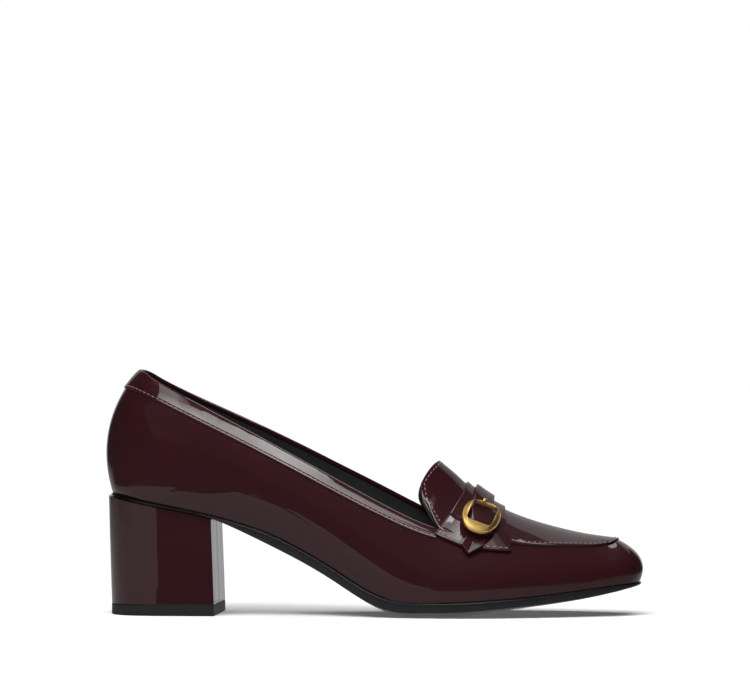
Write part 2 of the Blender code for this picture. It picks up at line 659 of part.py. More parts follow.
def heel_plan(lean):
    """Plan rows of the D-shaped heel, from its back to its breast."""
    back = (HEEL_BACK + lean) * LENGTH_GRADE
    breast = (HEEL_BREAST + lean) * LENGTH_GRADE
    angle = np.linspace(0.0, np.pi / 2, HEEL_ROUND_STEPS + 1)
    power = 2 / HEEL_ROUNDNESS
    x = back + HEEL_ROUND_LENGTH * (1 - np.cos(angle) ** power)
    half = HEEL_HALF_WIDTH * WIDTH_GRADE * np.sin(angle) ** power
    flat = np.linspace(x[-1], breast, HEEL_FLAT_STEPS + 1)[1:]
    x = np.concatenate([x, flat])
    half = np.concatenate([half, np.full(HEEL_FLAT_STEPS, half[-1])])
    across = np.linspace(-1.0, 1.0, HEEL_COLUMNS + 1)
    return np.broadcast_to(x[:, None], (len(x), len(across))), half[:, None] * across[None, :]


def add_heel(material, parent):
    x, y = heel_plan(0.0)
    seat = seat_table(x)
    high = np.stack([x, y, seat[..., 0] - seat[..., 1] - GAP], axis=-1)
    x, y = heel_plan(HEEL_LEAN)
    low = np.stack([x, y, np.full(x.shape, TOP_PIECE_HEIGHT + GAP)], axis=-1)
    return add_slab("heel", low, high, material, parent)


def add_top_piece(material, parent):
    x, y = heel_plan(HEEL_LEAN)
    low = np.stack([x, y, np.zeros(x.shape)], axis=-1)
    high = np.stack([x, y, np.full(x.shape, TOP_PIECE_HEIGHT)], axis=-1)
    return add_slab("top_piece", low, high, material, parent)


def main():
    for old in list(bpy.data.objects):
        bpy.data.objects.remove(old, do_unlink=True)
    patent = finish("oxblood_patent_leather", (0.030, 0.006, 0.008), 0.08)
    lining = finish("black_lining_leather", (0.012, 0.011, 0.011), 0.55)
    sole = finish("black_sole_leather", (0.010, 0.010, 0.010), 0.4)
    rubber = finish("black_tread_rubber", (0.012, 0.012, 0.012), 0.6)
    gold = finish("gold_plated_brass", (0.75, 0.50, 0.16), 0.15, 1.0)

    last = bpy.data.objects.new("last", None)
    bpy.context.scene.collection.objects.link(last)
    made = [
        add_upper(patent, last),
        add_collar_binding(patent, last),
        add_saddle_strap(patent, last),
        add_belt(patent, last),
        add_buckle(gold, last),
        add_buckle_prong(gold, last),
        add_insole(lining, last),
        add_outsole(sole, last),
        add_heel(patent, last),
        add_top_piece(rubber, last),
    ]
    # The shoe's origin is under the middle of its box
    corners = np.array([vertex.co for piece in made for vertex in piece.data.vertices])
    middle = (corners.min(axis=0) + corners.max(axis=0)) / 2
    last.location = (-middle[0], -middle[1], -corners[:, 2].min())


main()
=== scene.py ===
import math

import bpy
import numpy as np
from mathutils import Matrix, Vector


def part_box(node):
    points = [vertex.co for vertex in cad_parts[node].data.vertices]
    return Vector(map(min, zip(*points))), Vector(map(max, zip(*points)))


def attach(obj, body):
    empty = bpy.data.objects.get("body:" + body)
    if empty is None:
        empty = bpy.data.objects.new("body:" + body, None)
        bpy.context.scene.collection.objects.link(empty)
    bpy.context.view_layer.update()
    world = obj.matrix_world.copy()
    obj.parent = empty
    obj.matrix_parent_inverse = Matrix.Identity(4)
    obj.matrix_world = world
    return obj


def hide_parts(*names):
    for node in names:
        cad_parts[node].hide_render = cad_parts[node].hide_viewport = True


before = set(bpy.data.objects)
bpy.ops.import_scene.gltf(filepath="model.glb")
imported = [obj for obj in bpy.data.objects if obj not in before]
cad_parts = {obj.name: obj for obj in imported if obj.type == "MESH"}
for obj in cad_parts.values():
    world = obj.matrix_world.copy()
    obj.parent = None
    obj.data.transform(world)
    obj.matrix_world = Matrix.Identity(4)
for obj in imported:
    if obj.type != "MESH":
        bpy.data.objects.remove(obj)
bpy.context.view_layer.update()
mm = 0.001
print("frame loaded with", len(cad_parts), "solids")

# The last that the shoe is built on, in mm: x from the back of the heel to the toe, lateral side at -y
last = {
    "seat": [  # x, height of the feather line, sole thickness at its edge, how far the sole's middle hangs
        (0.0, 56.5, 0.9, 0.0), (28.0, 51.0, 0.9, 0.0), (50.0, 46.4, 1.1, 0.0), (62.0, 43.2, 2.8, 0.1),
        (76.0, 38.6, 4.9, 0.2), (92.0, 30.9, 5.3, 0.3), (107.0, 22.3, 5.3, 0.5), (123.0, 12.6, 5.3, 1.1),
        (137.0, 7.6, 4.9, 2.2), (150.0, 7.0, 4.6, 2.4), (166.0, 7.3, 4.5, 2.7), (182.0, 8.3, 4.2, 2.0),
        (200.0, 9.8, 3.9, 1.3), (225.0, 12.8, 3.6, 0.7), (239.0, 14.5, 2.5, 0.3), (249.0, 15.4, 0.9, 0.0),
    ],
    "heelCentre": (2.4, 0.0, 11.8, 113.5, 10.0, 11.6),  # x, y, then inset, top, low swell, high swell
    "toeCentre": (247.4, 4.4, 9.6, 34.6, 6.0, 9.4),
    "sections": [  # x, then for each side the half width, inset of the top edge, its height, two swells
        (8.0, (15.9, 10.9, 112.9, 9.2, 10.6), (15.9, 10.9, 112.9, 9.2, 10.6)),
        (16.0, (22.6, 9.0, 110.8, 8.1, 8.2), (22.6, 9.0, 110.9, 8.1, 8.2)),
        (28.0, (25.8, 7.5, 105.9, 7.2, 6.8), (25.8, 7.5, 106.0, 7.2, 6.8)),
        (50.0, (25.6, 5.6, 94.8, 7.4, 6.2), (25.2, 5.0, 96.4, 7.4, 6.2)),
        (75.0, (24.8, 3.8, 81.4, 7.5, 6.0), (21.6, 0.8, 84.8, 7.5, 6.0)),
        (100.0, (26.5, 3.4, 67.5, 7.2, 5.8), (19.2, -2.8, 72.3, 7.4, 5.8)),
        (125.0, (32.5, 5.6, 53.6, 6.0, 5.0), (23.0, -1.4, 59.6, 6.0, 5.0)),
        (150.0, (38.8, 8.0, 42.2, 5.2, 2.4), (31.4, 4.0, 46.0, 4.4, 4.0)),
        (165.0, (39.8, 8.6, 38.6, 6.2, 1.6), (35.8, 6.8, 40.0, 5.2, 3.8)),
        (180.0, (38.3, 8.8, 35.9, 6.6, 2.4), (37.8, 8.2, 37.3, 6.2, 3.5)),
        (200.0, (32.8, 8.2, 33.2, 6.4, 3.1), (36.3, 8.2, 35.0, 6.4, 3.2)),
        (220.0, (24.5, 8.0, 32.5, 5.4, 3.6), (31.4, 8.0, 33.6, 5.4, 3.6)),
        (235.0, (17.3, 9.0, 32.5, 5.6, 6.0), (25.2, 9.0, 33.4, 5.6, 6.0)),
        (242.8, (12.4, 9.4, 33.7, 5.9, 8.3), (20.7, 9.4, 33.8, 5.9, 8.3)),
    ],
    "apron": [  # from the toe to the throat: seam x on both sides, crest, roundness of the arch
        (235.0, 235.0, (237.8, 4.4, 34.5), 1.6), (222.0, 222.0, (225.0, 4.4, 36.1), 1.4),
        (206.0, 205.0, (207.0, 4.0, 40.0), 1.0), (187.8, 184.6, (184.2, 3.0, 48.0), 0.8),
        (157.0, 152.0, (166.6, 1.6, 59.7), 0.8),
    ],
    "tongue": [  # lateral edge, crest, medial edge, roundness
        ((151.8, -25.9, 48.4), (162.4, 1.2, 63.7), (146.4, 23.4, 49.6), 0.8),
        ((148.6, -22.0, 54.2), (158.1, 0.7, 67.4), (144.2, 20.6, 55.2), 0.85),
        ((147.4, -18.4, 61.4), (154.2, 0.2, 70.6), (145.0, 17.9, 60.4), 0.9),
    ],
    "flatTongue": {"share": 0.9, "power": 3, "start": 2.0},  # the free end's height falls late
    "cup": {
        "widest": 58.2, "bulge": 2.3, "limits": (0.05, 0.4), "fade": (45.0, 80.0), "sideways": (0.25, 0.65),
    },
    "wall": 1.4,
    "apronStep": 1.0,
    "gap": 0.3,
}
treadLow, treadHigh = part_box("top_piece")  # its middle is on the last's centre line
treadBack = 1.6  # mm along the last
lastShift = np.array([treadLow.x / mm - treadBack, (treadLow.y + treadHigh.y) / 2 / mm, 0.0])


def smoothTable(knots, values, closed=False):
    # cubic curve through a row of values at each knot; a closed one repeats after its last knot
    knots, values = np.asarray(knots, float), np.asarray(values, float)
    step = np.diff(knots)[:, None]
    rise = np.diff(values, axis=0) / step
    end = len(knots) - 1
    matrix, right = np.eye(end + 1), np.zeros_like(values)
    for i in range(1, end):
        matrix[i, i - 1:i + 2] = step[i - 1, 0], 2 * (step[i - 1, 0] + step[i, 0]), step[i, 0]
        right[i] = 6 * (rise[i] - rise[i - 1])
    if closed:
        matrix[0, [end - 1, 0, 1]] = step[-1, 0], 2 * (step[-1, 0] + step[0, 0]), step[0, 0]
        right[0] = 6 * (rise[0] - rise[-1])
        matrix[end, [0, end]] = -1.0, 1.0
    bend = np.linalg.solve(matrix, right)

    def valueAt(at):
        at = np.asarray(at, float)
        if closed:
            at = np.mod(at, knots[-1])
        i = np.clip(np.searchsorted(knots, at, side="right") - 1, 0, end - 1)
        h = step[i]
        a, b = (knots[i + 1] - at)[..., None], (at - knots[i])[..., None]
        curve = (bend[i] * a ** 3 + bend[i + 1] * b ** 3) / (6 * h)
        return curve + (values[i] / h - bend[i] * h / 6) * a + (values[i + 1] / h - bend[i + 1] * h / 6) * b

    return valueAt


def ease(value, start, stop):
    share = np.clip((value - start) / (stop - start), 0.0, 1.0)
    return share * share * (3 - 2 * share)


def unit(vectors):
    return vectors / np.linalg.norm(vectors, axis=-1, keepdims=True)


def rowAt(table, share):
    return table[np.round(share * (len(table) - 1)).astype(int)]


def runAlong(points):
    return np.concatenate([[0.0], np.cumsum(np.linalg.norm(np.diff(points, axis=0), axis=1))])


seatTable = smoothTable([row[0] for row in last["seat"]], [row[1:] for row in last["seat"]])
lateralRows = [(x, -side[0], *side[1:]) for x, side, other in last["sections"]]
medialRows = [(x, side[0], *side[1:]) for x, other, side in reversed(last["sections"])]
loopRows = np.array([last["heelCentre"], *lateralRows, last["toeCentre"], *medialRows, last["heelCentre"]])
loopKnots = runAlong(loopRows[:, :2])
loopTable = smoothTable(loopKnots, loopRows, closed=True)
loopLength, toeAt = loopKnots[-1], loopKnots[len(last["sections"]) + 1]


def outlineAt(at, outward=0.0):
    at, step = np.asarray(at), 1e-3
    plan = loopTable(at)[..., :2]
    along = unit(loopTable(at + step)[..., :2] - loopTable(at - step)[..., :2])
    away = np.stack([along[..., 1], -along[..., 0]], axis=-1)
    return plan + np.asarray(outward)[..., None] * away, away


def wallAt(at, level):
    # outer face of the upper's wall, level 0 at the feather line and 1 at the top edge, with its normal
    at, level = np.broadcast_arrays(at, level)
    plan, away = outlineAt(at)
    inset, top, low, high = np.moveaxis(loopTable(at)[..., 2:], -1, 0)
    base = seatTable(plan[..., 0])[..., 0]
    rest = 1 - level
    swell = -inset * level + 3 * level * rest ** 2 * low + 3 * level ** 2 * rest * high
    slope = -inset + 3 * low * rest * (1 - 3 * level) + 3 * high * level * (2 - 3 * level)
    height = top - base
    # the heel's sides are widest low down, at one height, and lean in from there to the top edge
    cup = last["cup"]
    share = ease(np.abs(away[..., 1]), *cup["sideways"]) * (1 - ease(plan[..., 0], *cup["fade"]))
    widest = np.clip((cup["widest"] - base) / height, *cup["limits"])
    foot = np.clip(level / widest, 0.0, 1.0)
    lean = np.clip((level - widest) / (1 - widest), 0.0, 1.0)
    fall, topSlope = -inset - cup["bulge"], -(inset + 3 * high) * (1 - widest)
    upperSwell = cup["bulge"] + fall * lean ** 2 * (3 - 2 * lean) + topSlope * lean ** 2 * (lean - 1)
    upperSlope = (fall * 6 * lean * (1 - lean) + topSlope * lean * (3 * lean - 2)) / (1 - widest)
    cupSwell = np.where(level < widest, cup["bulge"] * foot * (2 - foot), upperSwell)
    cupSlope = np.where(level < widest, 2 * cup["bulge"] * (1 - foot) / widest, upperSlope)
    swell, slope = swell + share * (cupSwell - swell), slope + share * (cupSlope - slope)
    point = np.concatenate([plan + swell[..., None] * away, (base + height * level)[..., None]], axis=-1)
    normal = unit(np.concatenate([height[..., None] * away, -slope[..., None]], axis=-1))
    return point, normal


def bothSides(v):
    # lateral and medial places along the outline, close together at the heel and at the toe
    place = toeAt * (1 - np.cos(math.pi * v)) / 2
    return place, loopLength - place * (loopLength - toeAt) / toeAt


def wallDown(at, drop):
    # the wall at a distance below its top edge
    height = wallAt(at, 1.0)[0][..., 2] - wallAt(at, 0.0)[0][..., 2]
    return wallAt(at, 1 - drop / height)


seamKnot, seamSteps = loopKnots[5], 400  # the seams' places are looked up from the waist to the toe
lateralAts = np.linspace(seamKnot, toeAt, seamSteps)
medialAts = np.linspace(loopLength - seamKnot, toeAt, seamSteps)
lateralXs, medialXs = wallAt(lateralAts, 1.0)[0][:, 0], wallAt(medialAts, 1.0)[0][:, 0]


def seamAt(x, medial):
    return np.interp(x, medialXs, medialAts) if medial else np.interp(x, lateralXs, lateralAts)


crestPoints = np.array([row[2] for row in last["apron"]] + [row[1] for row in last["tongue"]])
crestKnots = runAlong(crestPoints)
crestTable = smoothTable(crestKnots, crestPoints)
roundTable = smoothTable(crestKnots, [(row[3],) for row in last["apron"] + last["tongue"]])
seamTable = smoothTable(crestKnots[:5], [row[:2] for row in last["apron"]])
strapFrontRow, throatRow, tongueRow = crestKnots[3], crestKnots[4], crestKnots[-1]
tongueTables = []
for medial in (False, True):
    foot = wallAt(seamAt(last["apron"][-1][int(medial)], medial), 1.0)[0]
    tongueTables.append(smoothTable(crestKnots[4:], [foot] + [row[2 * medial] for row in last["tongue"]]))


def apronEdge(row, medial):
    seam = wallAt(seamAt(seamTable(np.minimum(row, throatRow))[..., int(medial)], medial), 1.0)[0]
    free = tongueTables[int(medial)](np.maximum(row, throatRow))
    return np.where((row > throatRow)[..., None], free, seam)


def archAt(row, side):
    # apron and tongue, from the lateral edge (-1) over the crest to the medial edge (1)
    row, side = np.broadcast_arrays(row, side)
    left, right = apronEdge(row, False), apronEdge(row, True)
    middle = (left + right) / 2
    sharp = roundTable(row)[..., 0]
    fall = (np.sqrt(1 + (side / sharp) ** 2) - 1) / (np.sqrt(1 + 1 / sharp ** 2) - 1)
    flat = last["flatTongue"]
    free = flat["share"] * ease(row, throatRow + flat["start"], tongueRow)
    flatter = fall + free * (np.abs(side) ** flat["power"] - fall)
    falls = np.stack([fall, fall, flatter], axis=-1)
    return middle + side[..., None] * (right - left) / 2 + (crestTable(row) - middle) * (1 - falls)


def archNormal(row, side):
    step = 0.05
    row, side = np.broadcast_arrays(row, side)
    across = archAt(row, side + step) - archAt(row, side - step)
    along = archAt(np.clip(row + step, 0, tongueRow), side) - archAt(np.clip(row - step, 0, tongueRow), side)
    return unit(np.cross(across, along))


# Modelling helpers: a sheet is added, and what follows works on it as the active piece
def deselectAll():
    if bpy.context.mode != "OBJECT":
        bpy.ops.object.mode_set(mode="OBJECT")
    bpy.ops.object.select_all(action="DESELECT")


def editAll(action, **settings):
    # one edit to the whole of the active piece
    bpy.ops.object.mode_set(mode="EDIT")
    bpy.ops.mesh.select_all(action="SELECT")
    action(**settings)
    bpy.ops.object.mode_set(mode="OBJECT")


def addSheet(name, across, along, lay, wrap=False):
    # a grid at its fineness, whose points lay(u, v) puts on the last, in mm
    deselectAll()
    bpy.ops.mesh.primitive_grid_add(x_subdivisions=across, y_subdivisions=along, size=1.0)
    piece = bpy.context.object
    piece.name = piece.data.name = name
    flat = np.zeros(len(piece.data.vertices) * 3)
    piece.data.vertices.foreach_get("co", flat)
    flat = flat.reshape(-1, 3) + 0.5
    u, v = np.round(flat[:, 0] * across) / across, np.round(flat[:, 1] * along) / along
    piece.data.vertices.foreach_set("co", ((lay(u, v) + lastShift) * mm).ravel())
    piece.data.update()
    if wrap:
        editAll(bpy.ops.mesh.remove_doubles, threshold=2e-6)


def faceOutward(fillEnds=False):
    if fillEnds:
        editAll(bpy.ops.mesh.fill_holes, sides=0)
    editAll(bpy.ops.mesh.normals_make_consistent, inside=False)


def addModifier(kind, **settings):
    made = bpy.context.object.modifiers.new(kind.title(), kind)
    for key, value in settings.items():
        setattr(made, key, value)
    bpy.ops.object.modifier_apply(modifier=made.name)


def thicken(thickness, offset=-1):
    addModifier("SOLIDIFY", thickness=thickness * mm, offset=offset)


def roundEdges(width, segments=3, angle=50):
    addModifier("BEVEL", width=width * mm, segments=segments,
                limit_method="ANGLE", angle_limit=math.radians(angle))


def finishPiece(material, slot, *nodes, angle=50):
    piece = bpy.context.object
    deselectAll()
    piece.select_set(True)
    bpy.ops.object.shade_smooth_by_angle(angle=math.radians(angle))
    piece.data.materials.clear()
    piece.data.materials.append(material)
    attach(piece, "root")
    if nodes:
        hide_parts(*nodes)
    print("made", piece.name, len(piece.data.polygons), "faces")


# Materials
def linear(colour):
    parts = [int(colour[i:i + 2], 16) / 255 for i in (1, 3, 5)]
    return [c / 12.92 if c <= 0.04045 else ((c + 0.055) / 1.055) ** 2.4 for c in parts] + [1.0]


def addNode(tree, kind, links=None, **settings):
    # links go from an output, or from a node's first one
    node = tree.nodes.new(kind)
    for key, value in settings.items():
        socket = key.replace("_", " ")
        if socket in node.inputs:
            node.inputs[socket].default_value = value
        else:
            setattr(node, key, value)
    for key, source in (links or {}).items():
        tree.links.new(getattr(source, "outputs", [source])[0], node.inputs[key])
    return node


def startMaterial(name):
    # its patterns go by object coordinates in metres, so one of n mm has a scale of 1000 / n
    material = bpy.data.materials.new(name)
    material.use_nodes = True
    material.node_tree.nodes.clear()
    tree = material.node_tree
    return material, tree, addNode(tree, "ShaderNodeTexCoord").outputs["Object"]


# Patent leather: a dyed hide under a thick cast lacquer, so a deep even colour with mirror-sharp reflections
# that swim a little where the hide below isn't flat
patent = {"dark": linear("#240a0e"), "light": linear("#290d11"), "cloud": 28, "hide": 0.7, "swim": 9}
patentLeather, tree, place = startMaterial("oxblood_patent_leather")
cloud = addNode(tree, "ShaderNodeTexNoise", {"Vector": place}, Scale=1000 / patent["cloud"], Detail=3)
colour = addNode(tree, "ShaderNodeMixRGB", {"Fac": cloud}, Color1=patent["dark"], Color2=patent["light"])
pores = addNode(tree, "ShaderNodeTexNoise", {"Vector": place}, Scale=1000 / patent["hide"], Detail=2)
hide = addNode(tree, "ShaderNodeBump", {"Height": pores}, Strength=0.15, Distance=0.05 * mm)
waves = addNode(tree, "ShaderNodeTexNoise", {"Vector": place}, Scale=1000 / patent["swim"], Detail=1)
swim = addNode(tree, "ShaderNodeBump", {"Height": waves}, Strength=0.5, Distance=0.06 * mm)
shader = addNode(tree, "ShaderNodeBsdfPrincipled",
                 {"Base Color": colour, "Normal": hide, "Coat Normal": swim}, Roughness=0.45,
                 Specular_IOR_Level=0.1, Coat_Weight=1.0, Coat_Roughness=0.02, Coat_IOR=1.5)
addNode(tree, "ShaderNodeOutputMaterial", {"Surface": shader})

# Lining leather: drum-dyed pigskin, matt black with a fine pebbled grain
lining = {"dark": linear("#242526"), "light": linear("#303131"), "grain": 0.9}
liningLeather, tree, place = startMaterial("black_lining_leather")
grain = addNode(tree, "ShaderNodeTexVoronoi", {"Vector": place}, Scale=1000 / lining["grain"])
colour = addNode(tree, "ShaderNodeMixRGB", {"Fac": grain}, Color1=lining["dark"], Color2=lining["light"])
pebble = addNode(tree, "ShaderNodeBump", {"Height": grain}, Strength=0.5, Distance=0.1 * mm)
shader = addNode(tree, "ShaderNodeBsdfPrincipled", {"Base Color": colour, "Normal": pebble},
                 Roughness=0.6, Specular_IOR_Level=0.35)
addNode(tree, "ShaderNodeOutputMaterial", {"Surface": shader})

# Sole leather: black-waxed edge and bottom, a soft sheen with fine fibres showing along it
sole = {"dark": linear("#0f1011"), "light": linear("#18191b"), "fibre": 1.6}
soleLeather, tree, place = startMaterial("black_sole_leather")
stretch = addNode(tree, "ShaderNodeMapping", {"Vector": place}, Scale=(0.15, 1.0, 1.0))
fibre = addNode(tree, "ShaderNodeTexNoise", {"Vector": stretch}, Scale=1000 / sole["fibre"], Detail=4)
colour = addNode(tree, "ShaderNodeMixRGB", {"Fac": fibre}, Color1=sole["dark"], Color2=sole["light"])
rough = addNode(tree, "ShaderNodeMapRange", {"Value": fibre}, To_Min=0.28, To_Max=0.46)
ridge = addNode(tree, "ShaderNodeBump", {"Height": fibre}, Strength=0.3, Distance=0.08 * mm)
shader = addNode(tree, "ShaderNodeBsdfPrincipled",
                 {"Base Color": colour, "Roughness": rough, "Normal": ridge}, Specular_IOR_Level=0.5)
addNode(tree, "ShaderNodeOutputMaterial", {"Surface": shader})

# Tread rubber: moulded, matt charcoal with a dusty speckle
tread = {"dark": linear("#141414"), "light": linear("#1f1f1e"), "speckle": 0.8}
treadRubber, tree, place = startMaterial("black_tread_rubber")
speckle = addNode(tree, "ShaderNodeTexNoise", {"Vector": place}, Scale=1000 / tread["speckle"], Detail=3)
colour = addNode(tree, "ShaderNodeMixRGB", {"Fac": speckle}, Color1=tread["dark"], Color2=tread["light"])
pit = addNode(tree, "ShaderNodeBump", {"Height": speckle}, Strength=0.25, Distance=0.08 * mm)
shader = addNode(tree, "ShaderNodeBsdfPrincipled", {"Base Color": colour, "Normal": pit},
                 Roughness=0.55, Specular_IOR_Level=0.4)
addNode(tree, "ShaderNodeOutputMaterial", {"Surface": shader})

# Gold plate on cast brass: warm, softly polished so that its highlights are broad, and a little uneven
gold = {"pale": linear("#ffdf94"), "deep": linear("#f8c058"), "polish": 6}
goldBrass, tree, place = startMaterial("gold_plated_brass")
polish = addNode(tree, "ShaderNodeTexNoise", {"Vector": place}, Scale=1000 / gold["polish"], Detail=1)
colour = addNode(tree, "ShaderNodeMixRGB", {"Fac": polish}, Color1=gold["deep"], Color2=gold["pale"])
rough = addNode(tree, "ShaderNodeMapRange", {"Value": polish}, To_Min=0.27, To_Max=0.32)
shader = addNode(tree, "ShaderNodeBsdfPrincipled", {"Base Color": colour, "Roughness": rough}, Metallic=1.0)
addNode(tree, "ShaderNodeOutputMaterial", {"Surface": shader})

# Waxed nylon thread: rosy against the hide, its twist too fine for the picture and so drawn at 0.5 mm
thread = {"dark": linear("#6e464c"), "light": linear("#a88085"), "twist": 0.5}
waxedThread, tree, place = startMaterial("waxed_thread")
twist = addNode(tree, "ShaderNodeTexNoise", {"Vector": place}, Scale=1000 / thread["twist"], Detail=2)
colour = addNode(tree, "ShaderNodeMixRGB", {"Fac": twist}, Color1=thread["dark"], Color2=thread["light"])
strand = addNode(tree, "ShaderNodeBump", {"Height": twist}, Strength=0.4, Distance=0.06 * mm)
shader = addNode(tree, "ShaderNodeBsdfPrincipled", {"Base Color": colour, "Normal": strand},
                 Roughness=0.4, Specular_IOR_Level=0.5)
addNode(tree, "ShaderNodeOutputMaterial", {"Surface": shader})
print("materials made")

# Collar binding: a wide band folded over the top edge, sewn along its lower edge, a little padded
collar = {
    "along": 300,
    "places": [15.0, 45.0, 90.0, 154.0],
    "widths": [8.8, 8.2, 6.6, 4.8],
    "frontLateral": 155.4,
    "frontMedial": 147.0,
    "face": [  # share of the width and mm above the lower edge, then how proud the face stands
        (0.0, 0.0, 0.02), (0.0, 0.0, 0.38), (0.0, 0.08, 0.58), (0.0, 0.24, 0.70), (0.0, 0.50, 0.74),
        (0.0, 0.85, 0.69), (0.0, 1.20, 0.58), (0.0, 1.55, 0.62), (0.0, 2.0, 0.60), (0.3, 0.8, 0.47),
        (0.45, 0.5, 0.38), (0.58, 0.3, 0.28), (0.68, 0.2, 0.19), (0.77, 0.15, 0.09), (0.85, 0.1, -0.01),
        (0.92, 0.05, -0.12), (1.0, 0.0, -0.26),
    ],
    "foldRadius": 0.70,
    "fold": [38, 60, 85, 110, 135, 158],
    "inside": [(0.0, 0.28), (0.4, 0.40), (1.0, 0.42), (1.7, 0.40), (1.85, 0.15)],
    "foldIn": 0.28,
    "thickness": 0.35,
    "tuck": 0.6, "tuckShort": 1.0, "tuckFade": 2.5,  # how far the wall sinks under the band
    "tuckFront": 154.0, "tuckFrontFade": 6.0,
    "stitchRow": 6, "stitchEnds": (1.0, 0.8),
}

# Upper: the wall's leather, turned under at the feather line
wallLeather = {"around": 360, "up": 34, "thickness": 0.9, "turnUnder": 1.4, "turnDown": 0.16, "turnRows": 3}


def bandRoom(at, point):
    # how far the wall is sunk under the collar binding
    top = wallAt(at, 1.0)[0]
    width = np.interp(top[:, 0], collar["places"], collar["widths"])
    down = top[:, 2] - point[:, 2]
    hidden = np.clip((width - collar["tuckShort"] - down) / collar["tuckFade"], 0, 1)
    hidden = hidden * np.clip((collar["tuckFront"] - top[:, 0]) / collar["tuckFrontFade"], 0, 1)
    return (collar["tuck"] * hidden)[:, None]


def layWall(u, v):
    row = v * wallLeather["up"]
    under = np.clip(1 - row / wallLeather["turnRows"], 0, 1)
    level = np.clip((row - wallLeather["turnRows"]) / (wallLeather["up"] - wallLeather["turnRows"]), 0, 1)
    point, normal = wallAt(u * loopLength, level)
    away = outlineAt(u * loopLength)[1]
    point[:, :2] -= (wallLeather["turnUnder"] * under ** 2)[:, None] * away
    point[:, 2] -= wallLeather["turnDown"] * np.sin(under * math.pi / 2)
    return point - bandRoom(u * loopLength, point) * normal


addSheet("upper_wall", wallLeather["around"], wallLeather["up"], layWall, wrap=True)
thicken(wallLeather["thickness"])
finishPiece(patentLeather, "oxblood_patent_leather", "upper")

# Apron and tongue: one raised panel with a rounded lip that lies over the wall's edge
apron = {
    "across": 56, "along": 84, "overhang": 0.012, "thickness": 1.05, "lip": 0.4, "toeBend": 12.0,
    "pressed": 0.7, "pressedFront": 1.0, "pressedRear": 1.5, "pressedFade": 4.0,
}


def apronHeight(row):
    # the step over the wall's edge, pressed down where the strap hides it
    hidden = np.minimum(row - strapFrontRow - apron["pressedFront"], throatRow - apron["pressedRear"] - row)
    return last["apronStep"] - apron["pressed"] * np.clip(hidden / apron["pressedFade"], 0, 1)


def layApron(u, v):
    side = (2 * u - 1) * (1 + apron["overhang"])
    row = v * tongueRow
    point = archAt(row, side)
    edge = np.clip(1 - row / apron["toeBend"], 0, 1)  # near the toe the rows bend to the wall's own top edge
    toeStart, toeEnd = seamAt(last["apron"][0][0], False), seamAt(last["apron"][0][1], True)
    toeLine = wallAt(toeStart + u * (toeEnd - toeStart), 1.0)[0]
    first = archAt(np.zeros_like(row), side)
    point = point + (edge ** 2)[:, None] * (toeLine - first)
    return point + apronHeight(row)[:, None] * archNormal(row, side)


addSheet("apron", apron["across"], apron["along"], layApron)
thicken(apron["thickness"])
roundEdges(apron["lip"], angle=55)
finishPiece(patentLeather, "oxblood_patent_leather", "upper")

# Lining: inside the wall, and under the apron and tongue, where it shows past the tongue's edge
liningSheet = {
    "around": 240, "up": 20, "foot": 0.02, "depth": 0.95, "thickness": 0.45, "tuckShare": 0.5,
    "tongueAcross": 40, "tongueAlong": 60, "tongueDepth": 0.1, "tongueThickness": 1.2, "edge": 0.4,
    "past": 0.02, "pastFade": 4.0,  # share that it shows beside the tongue
    "beyond": 1.3, "shoulders": (0.1, 0.5, 0.75, 1.0),  # mm that it shows over the tongue's end, and where
}


def layLiningWall(u, v):
    point, normal = wallAt(u * loopLength, liningSheet["foot"] + (1 - liningSheet["foot"]) * v)
    tuck = liningSheet["tuckShare"] * bandRoom(u * loopLength, point)
    return point - (liningSheet["depth"] + tuck) * normal


def layLiningApron(u, v):
    across, shoulders = 2 * u - 1, liningSheet["shoulders"]
    beyond = ease(np.abs(across), *shoulders[:2]) * (1 - ease(np.abs(across), *shoulders[2:]))
    row = v * (tongueRow + liningSheet["beyond"] * beyond)
    past = liningSheet["past"] * np.clip((row - throatRow) / liningSheet["pastFade"], 0, 1)
    side = across * (1 + past)
    return archAt(row, side) - liningSheet["tongueDepth"] * archNormal(row, side)


addSheet("lining_wall", liningSheet["around"], liningSheet["up"], layLiningWall, wrap=True)
thicken(liningSheet["thickness"])
finishPiece(liningLeather, "black_lining_leather", "upper")
addSheet("lining_apron", liningSheet["tongueAcross"], liningSheet["tongueAlong"], layLiningApron)
thicken(liningSheet["tongueThickness"])
roundEdges(liningSheet["edge"], angle=55)
finishPiece(liningLeather, "black_lining_leather", "upper")


def collarRow(at, row):
    # one place in the band's outline: up the face, over the fold, down the inside
    edge, normal = wallAt(at, 1.0)
    width = np.interp(edge[:, 0], collar["places"], collar["widths"])
    if row < len(collar["face"]):
        share, up, proud = collar["face"][row]
        point, out = wallDown(at, width * (1 - share) - up)
        return point + proud * out, out
    row -= len(collar["face"])
    if row < len(collar["fold"]):
        upward = unit(edge - wallAt(at, 1 - 1e-3)[0])
        angle = math.radians(collar["fold"][row])
        turned = math.cos(angle) * normal + math.sin(angle) * upward
        centre = edge - normal * (collar["foldIn"] + collar["foldRadius"])
        return centre + turned * collar["foldRadius"], turned
    down, proud = collar["inside"][row - len(collar["fold"])]
    point, out = wallDown(at, np.full(len(at), down))
    return point - (last["wall"] + proud) * out, -out


collarRows = len(collar["face"]) + len(collar["fold"]) + len(collar["inside"])
collarStart = seamAt(collar["frontMedial"], True) - loopLength
collarEnd = seamAt(collar["frontLateral"], False)


def layCollar(u, v):
    at = collarStart + u * (collarEnd - collarStart)
    point = np.zeros((len(u), 3))
    for row in range(collarRows):
        chosen = np.round(v * (collarRows - 1)) == row
        point[chosen] = collarRow(at[chosen], row)[0]
    return point


